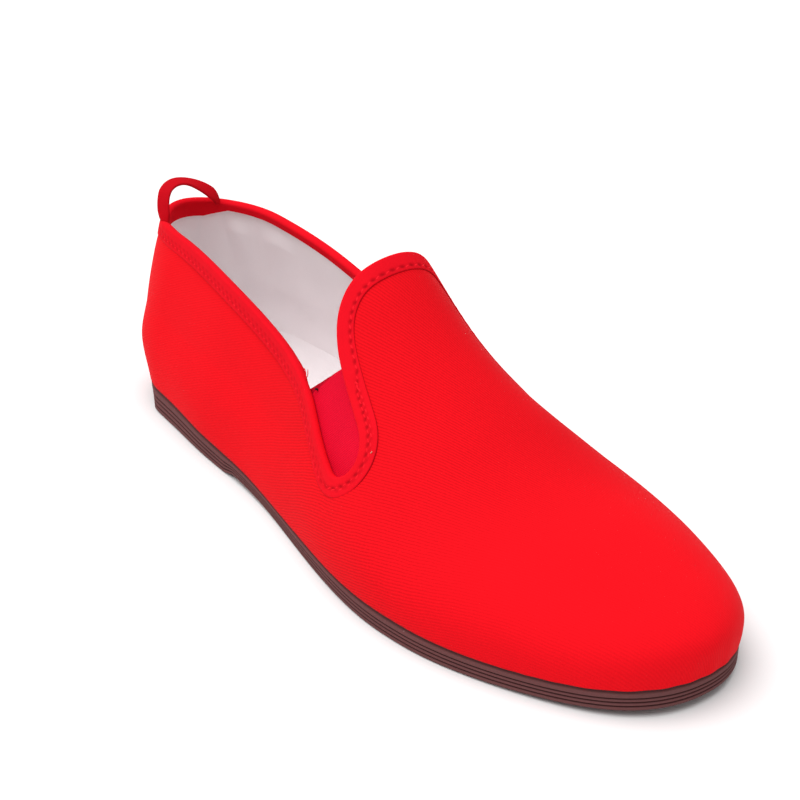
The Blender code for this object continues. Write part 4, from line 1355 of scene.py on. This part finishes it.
def stitch_tree():
    """Geometry nodes that lay a slanted stitch on each point of a line, with its way out stored there."""
    tree = bpy.data.node_groups.new("Stitch row", "GeometryNodeTree")
    tree.is_modifier = True
    tree.interface.new_socket("Line", in_out="INPUT", socket_type="NodeSocketGeometry")
    for label in ("Length", "Thickness", "Slant"):
        tree.interface.new_socket(label, in_out="INPUT", socket_type="NodeSocketFloat")
    tree.interface.new_socket("Thread", in_out="INPUT", socket_type="NodeSocketMaterial")
    tree.interface.new_socket("Stitches", in_out="OUTPUT", socket_type="NodeSocketGeometry")
    web = Web(tree)
    start = web.add("NodeGroupInput").outputs
    end = web.add("NodeGroupOutput")
    curve = web.add("GeometryNodeMeshToCurve", {"Mesh": start["Line"]}).outputs[0]
    ball = web.add("GeometryNodeMeshUVSphere", {"Segments": 8, "Rings": 6, "Radius": 0.5}).outputs["Mesh"]
    smooth = web.add("GeometryNodeSetShadeSmooth", {"Geometry": ball}).outputs[0]
    tangent = web.add("GeometryNodeInputTangent").outputs[0]
    out = web.add("GeometryNodeInputNamedAttribute", {"Name": "out"}, data_type="FLOAT_VECTOR").outputs[0]
    along = web.add("FunctionNodeAlignRotationToVector", {"Vector": tangent}, axis="X")
    upright = web.add("FunctionNodeAlignRotationToVector", {"Rotation": along.outputs[0], "Vector": out},
                      axis="Z", pivot_axis="X")
    slant = web.add("FunctionNodeAxisAngleToRotation", {"Axis": (0.0, 0.0, 1.0), "Angle": start["Slant"]})
    turned = web.add("FunctionNodeRotateRotation", {"Rotation": upright.outputs[0],
                                                    "Rotate By": slant.outputs[0]}, rotation_space="LOCAL")
    scale = web.add("ShaderNodeCombineXYZ", {"X": start["Length"], "Y": start["Thickness"],
                                             "Z": start["Thickness"]})
    laid = web.add("GeometryNodeInstanceOnPoints",
                   {"Points": curve, "Instance": smooth,
                    "Rotation": turned.outputs[0], "Scale": scale.outputs[0]})
    real = web.add("GeometryNodeRealizeInstances", {"Geometry": laid.outputs[0]})
    painted = web.add("GeometryNodeSetMaterial", {"Geometry": real.outputs[0], "Material": start["Thread"]})
    web.feed(painted.outputs[0], end.inputs[0])
    return tree


def sew(name, rows, tree, material, length, thickness, slant):
    """Stitches along rows of points, each with its way out, as one plain mesh."""
    mesh = bpy.data.meshes.new(name + "_lines")
    points = np.concatenate([spots for spots, _ in rows])
    outs = np.concatenate([ways for _, ways in rows])
    edges, start = [], 0
    for spots, _ in rows:
        edges += [(start + k, start + k + 1) for k in range(len(spots) - 1)]
        start += len(spots)
    mesh.from_pydata(((settle(points) + ORIGIN) * MM).tolist(), edges, [])
    attribute = mesh.attributes.new("out", "FLOAT_VECTOR", "POINT")
    attribute.data.foreach_set("vector", outs.astype(np.float32).ravel())
    piece = bpy.data.objects.new(name, mesh)
    bpy.context.scene.collection.objects.link(piece)
    modifier = piece.modifiers.new("stitches", "NODES")
    modifier.node_group = tree
    values = {"Length": length, "Thickness": thickness, "Slant": slant, "Thread": material}
    for item in tree.interface.items_tree:
        if item.in_out == "INPUT" and item.name in values:
            modifier[item.identifier] = values[item.name]
    depsgraph = bpy.context.evaluated_depsgraph_get()
    sewn = bpy.data.meshes.new_from_object(piece.evaluated_get(depsgraph))
    piece.modifiers.remove(modifier)
    piece.data = sewn
    sewn.name = name
    bpy.data.meshes.remove(mesh)
    finish_piece(piece, "tape", material)
    return piece


# Stitches of each part of the tape
# Columns: part, height as a share of the tape's lift, size as a share of a full stitch, slant in degrees
STITCH_ROWS = (("tab", 0.30, 1.0, 20.0), ("gore", 0.40, 0.95, 12.0), ("quarter", 0.30, 0.8, 10.0))


class SLIPON_OT_stitches(Operator):
    """Sew the tape on the quarters, beside the gores and on the tab"""

    bl_idname = "slip_on.stitches"
    bl_label = "Stitches"
    bl_options = {"REGISTER", "UNDO"}

    def execute(self, context):
        sizes, colours = context.scene.slip_on_sizes, context.scene.slip_on_colours
        line = TapeLine(Skin(), sizes.stitch_pitch / MM)
        lift = sizes.tape_lift / MM
        thread = thread_material("red thread", colours.thread)
        tree = stitch_tree()
        count, foot = len(line.spots), TAPE_STATIONS[0]
        gore_end = foot + int(GORE_SHARE * TAPE_STATIONS[1])
        beside_gores = (foot, gore_end), (count - gore_end, count - foot)
        spans = {
            "tab": [(0, gore_end, count - gore_end)],
            "gore": [(seam, *span) for seam in (0, 1) for span in beside_gores],
            "quarter": [(0, HEEL_SEAM, foot), (0, count - foot, count - HEEL_SEAM),
                        (1, QUARTER_SEAM, foot), (1, count - foot, count - QUARTER_SEAM)],
        }
        length, thick = sizes.stitch_length, sizes.stitch_thickness
        for zone, share, size, slant in STITCH_ROWS:
            rows = [line.on_row(SEAMS[seam], first, last, share * lift)
                    for seam, first, last in spans[zone]]
            sew(zone + "_stitches", rows, tree, thread, length * size, thick * size, np.radians(slant))
        return {"FINISHED"}


ASIDE = (0.3, 0.2, 0.93)


def tube(name, points, radius, sides=8):
    """Round thread along points, with tapered ends."""
    line = np.asarray(points, float)
    ahead = unit(np.gradient(line, axis=0))
    across = unit(np.cross(ahead, ASIDE))
    over = np.cross(ahead, across)
    angles = np.linspace(0, TURN, sides, endpoint=False)[None, :, None]
    share = np.linspace(-1, 1, len(line))
    girth = (radius * np.sqrt(np.clip(1.02 - share ** 8, 0, 1)))[:, None, None]
    ring = line[:, None] + girth * (np.cos(angles) * across[:, None] + np.sin(angles) * over[:, None])
    return new_piece(name, ring.reshape(-1, 3), tube_faces(len(line), sides))


# Loose ends at the lateral gore: place along, height and how far out of the canvas
THREAD_ROOT, KNOT_SPOT, LINT_SPOT = (126.4, 47.8, -0.45), (132.3, 47.2, -1.35), (167.8, 41.2, 0.75)
# Columns: name, tip from the root, bow half way
THREAD_ROWS = (("loose_thread", (-0.5, -0.2, 3.9), (0.4, 0.1, 0.2)),
               ("loose_thread_fork", (0.5, 0.5, 3.6), (0.3, 0.1, -0.2)))
THREAD_RADIUS, THREAD_STEPS = 0.13, 14
KNOT_RADIUS, KNOT_TURN, KNOT_HALVES, KNOT_TALL = 0.30, 6, (0.30, 0.25), 0.5
LINT_RUN, LINT_BOW = (0.7, 0.1, 0.9), (0.2, 0.0, 0.0)
KNOT_COLOUR, LINT_COLOUR = (0.012, 0.010, 0.012), (0.62, 0.42, 0.30)


def lateral_spot(surface, along, height, out):
    """Point over the lateral canvas, or under it."""
    place = along / LENGTH
    return surface.offset(skin(place, turn_at(place, height), LATERAL), out)


class SLIPON_OT_threads(Operator):
    """Add the loose thread, the dark knot and the fleck of lint at the lateral gore"""

    bl_idname = "slip_on.threads"
    bl_label = "Loose Threads"
    bl_options = {"REGISTER", "UNDO"}

    def execute(self, context):
        colours = context.scene.slip_on_colours
        surface = Skin()
        red = thread_material("loose red thread", colours.thread)
        black = thread_material("dark knot thread", KNOT_COLOUR)
        beige = thread_material("beige lint", LINT_COLOUR)
        share = np.linspace(0, 1, THREAD_STEPS)[:, None]
        bow = np.sin(np.pi * share)
        root = lateral_spot(surface, *THREAD_ROOT)
        for name, tip, side_bow in THREAD_ROWS:
            path = np.array(tip) * share + np.array(side_bow) * bow
            finish_piece(tube(name, root + path, THREAD_RADIUS), "tape", red)
        wide, deep = KNOT_HALVES
        coil = np.column_stack([wide * np.cos(KNOT_TURN * share), deep * np.sin(KNOT_TURN * share),
                                KNOT_TALL * share - KNOT_TALL / 2])
        knot = lateral_spot(surface, *KNOT_SPOT)
        finish_piece(tube("dark_knot", knot + coil, KNOT_RADIUS), "tape", black)
        path = np.array(LINT_RUN) * (share - 0.5) + np.array(LINT_BOW) * bow
        fleck = lateral_spot(surface, *LINT_SPOT)
        finish_piece(tube("lint_fleck", fleck + path, THREAD_RADIUS), "tape", beige)
        return {"FINISHED"}


FLOOR_REACH, SENSOR, CLIP_START = 6.0, 36.0, 0.01


class SLIPON_OT_stage(Operator):
    """Set the floor, the camera and the lights"""

    bl_idname = "slip_on.stage"
    bl_label = "Stage"
    bl_options = {"REGISTER", "UNDO"}

    def execute(self, context):
        stage, colours = context.scene.slip_on_stage, context.scene.slip_on_colours
        self.floor(colours)
        self.camera(context, stage)
        self.lights(context, stage)
        context.scene.view_settings.view_transform = "Standard"
        return {"FINISHED"}

    def floor(self, colours):
        mesh = bpy.data.meshes.new("pale_floor")
        reach = FLOOR_REACH
        mesh.from_pydata([(-reach, -reach, 0), (reach, -reach, 0), (reach, reach, 0), (-reach, reach, 0)],
                         [], [(0, 1, 2, 3)])
        floor = bpy.data.objects.new("pale_floor", mesh)
        bpy.context.scene.collection.objects.link(floor)
        material, web, shader = new_material("pale floor", 0.85, 0.1)
        place = web.add("ShaderNodeTexCoord").outputs["Object"]
        blotch = effect(web, "blotch", {"Place": place, "Patch": 0.4, "Fibre": 0.002})
        pale = web.mix(blotch["Patches"], tone(colours.floor, 0.99), tone(colours.floor, 1.01))
        web.feed(pale, shader.inputs["Base Color"])
        mesh.materials.append(material)

    def camera(self, context, stage):
        data = bpy.data.cameras.new("photo_camera")
        data.lens = stage.lens
        data.sensor_width = SENSOR
        data.clip_start = CLIP_START
        camera = bpy.data.objects.new("photo_camera", data)
        context.scene.collection.objects.link(camera)
        place, aim = Vector(stage.camera_place), Vector(stage.camera_aim)
        look = (aim - place).to_track_quat("-Z", "Y").to_matrix().to_4x4()
        camera.matrix_world = Matrix.Translation(place) @ look @ Matrix.Rotation(stage.camera_roll, 4, "Z")
        context.scene.camera = camera

    def lights(self, context, stage):
        world = bpy.data.worlds.new("studio")
        world.use_nodes = True
        web = Web(world.node_tree)
        lit, seen = (web.add("ShaderNodeBackground", {"Color": (1.0, 1.0, 1.0, 1.0), "Strength": strength})
                     for strength in (stage.sky, 1.0))
        camera_ray = web.add("ShaderNodeLightPath").outputs["Is Camera Ray"]
        sky = web.add("ShaderNodeMixShader", {0: camera_ray, 1: lit.outputs[0], 2: seen.outputs[0]})
        web.feed(sky.outputs[0], web.tree.nodes["World Output"].inputs["Surface"])
        context.scene.world = world
        data = bpy.data.lights.new("key", "SUN")
        data.energy = stage.key
        data.angle = stage.key_spread
        lamp = bpy.data.objects.new("key", data)
        context.scene.collection.objects.link(lamp)
        lamp.matrix_world = (-Vector(stage.key_from)).to_track_quat("-Z", "Y").to_matrix().to_4x4()


class SLIPON_PT_panel(Panel):
    """Sizes, colours and steps of the slip-on shoe"""

    bl_idname = "SLIPON_PT_panel"
    bl_label = "Slip-on Shoe"
    bl_space_type = "VIEW_3D"
    bl_region_type = "UI"
    bl_category = "Slip-on"

    def draw(self, context):
        layout = self.layout
        scene = context.scene
        for group in (scene.slip_on_sizes, scene.slip_on_colours, scene.slip_on_stage):
            box = layout.box()
            for name in group.__annotations__:
                box.prop(group, name)
        for operator in OPERATORS:
            layout.operator(operator.bl_idname)


OPERATORS = (
    SLIPON_OT_canvas,
    SLIPON_OT_tape,
    SLIPON_OT_gores,
    SLIPON_OT_sole,
    SLIPON_OT_insole,
    SLIPON_OT_loop,
    SLIPON_OT_stitches,
    SLIPON_OT_threads,
    SLIPON_OT_stage,
)
CLASSES = (SlipOnSizes, SlipOnColours, SlipOnStage, *OPERATORS, SLIPON_PT_panel)


def register():
    for item in CLASSES:
        bpy.utils.register_class(item)
    bpy.types.Scene.slip_on_sizes = PointerProperty(type=SlipOnSizes)
    bpy.types.Scene.slip_on_colours = PointerProperty(type=SlipOnColours)
    bpy.types.Scene.slip_on_stage = PointerProperty(type=SlipOnStage)


def unregister():
    del bpy.types.Scene.slip_on_stage
    del bpy.types.Scene.slip_on_colours
    del bpy.types.Scene.slip_on_sizes
    for item in reversed(CLASSES):
        bpy.utils.unregister_class(item)


def main():
    register()
    bpy.ops.slip_on.canvas()
    bpy.ops.slip_on.tape()
    bpy.ops.slip_on.gores()
    bpy.ops.slip_on.sole()
    bpy.ops.slip_on.insole()
    bpy.ops.slip_on.loop()
    bpy.ops.slip_on.stitches()
    bpy.ops.slip_on.threads()
    bpy.ops.slip_on.stage()


if __name__ == "__main__":
    main()
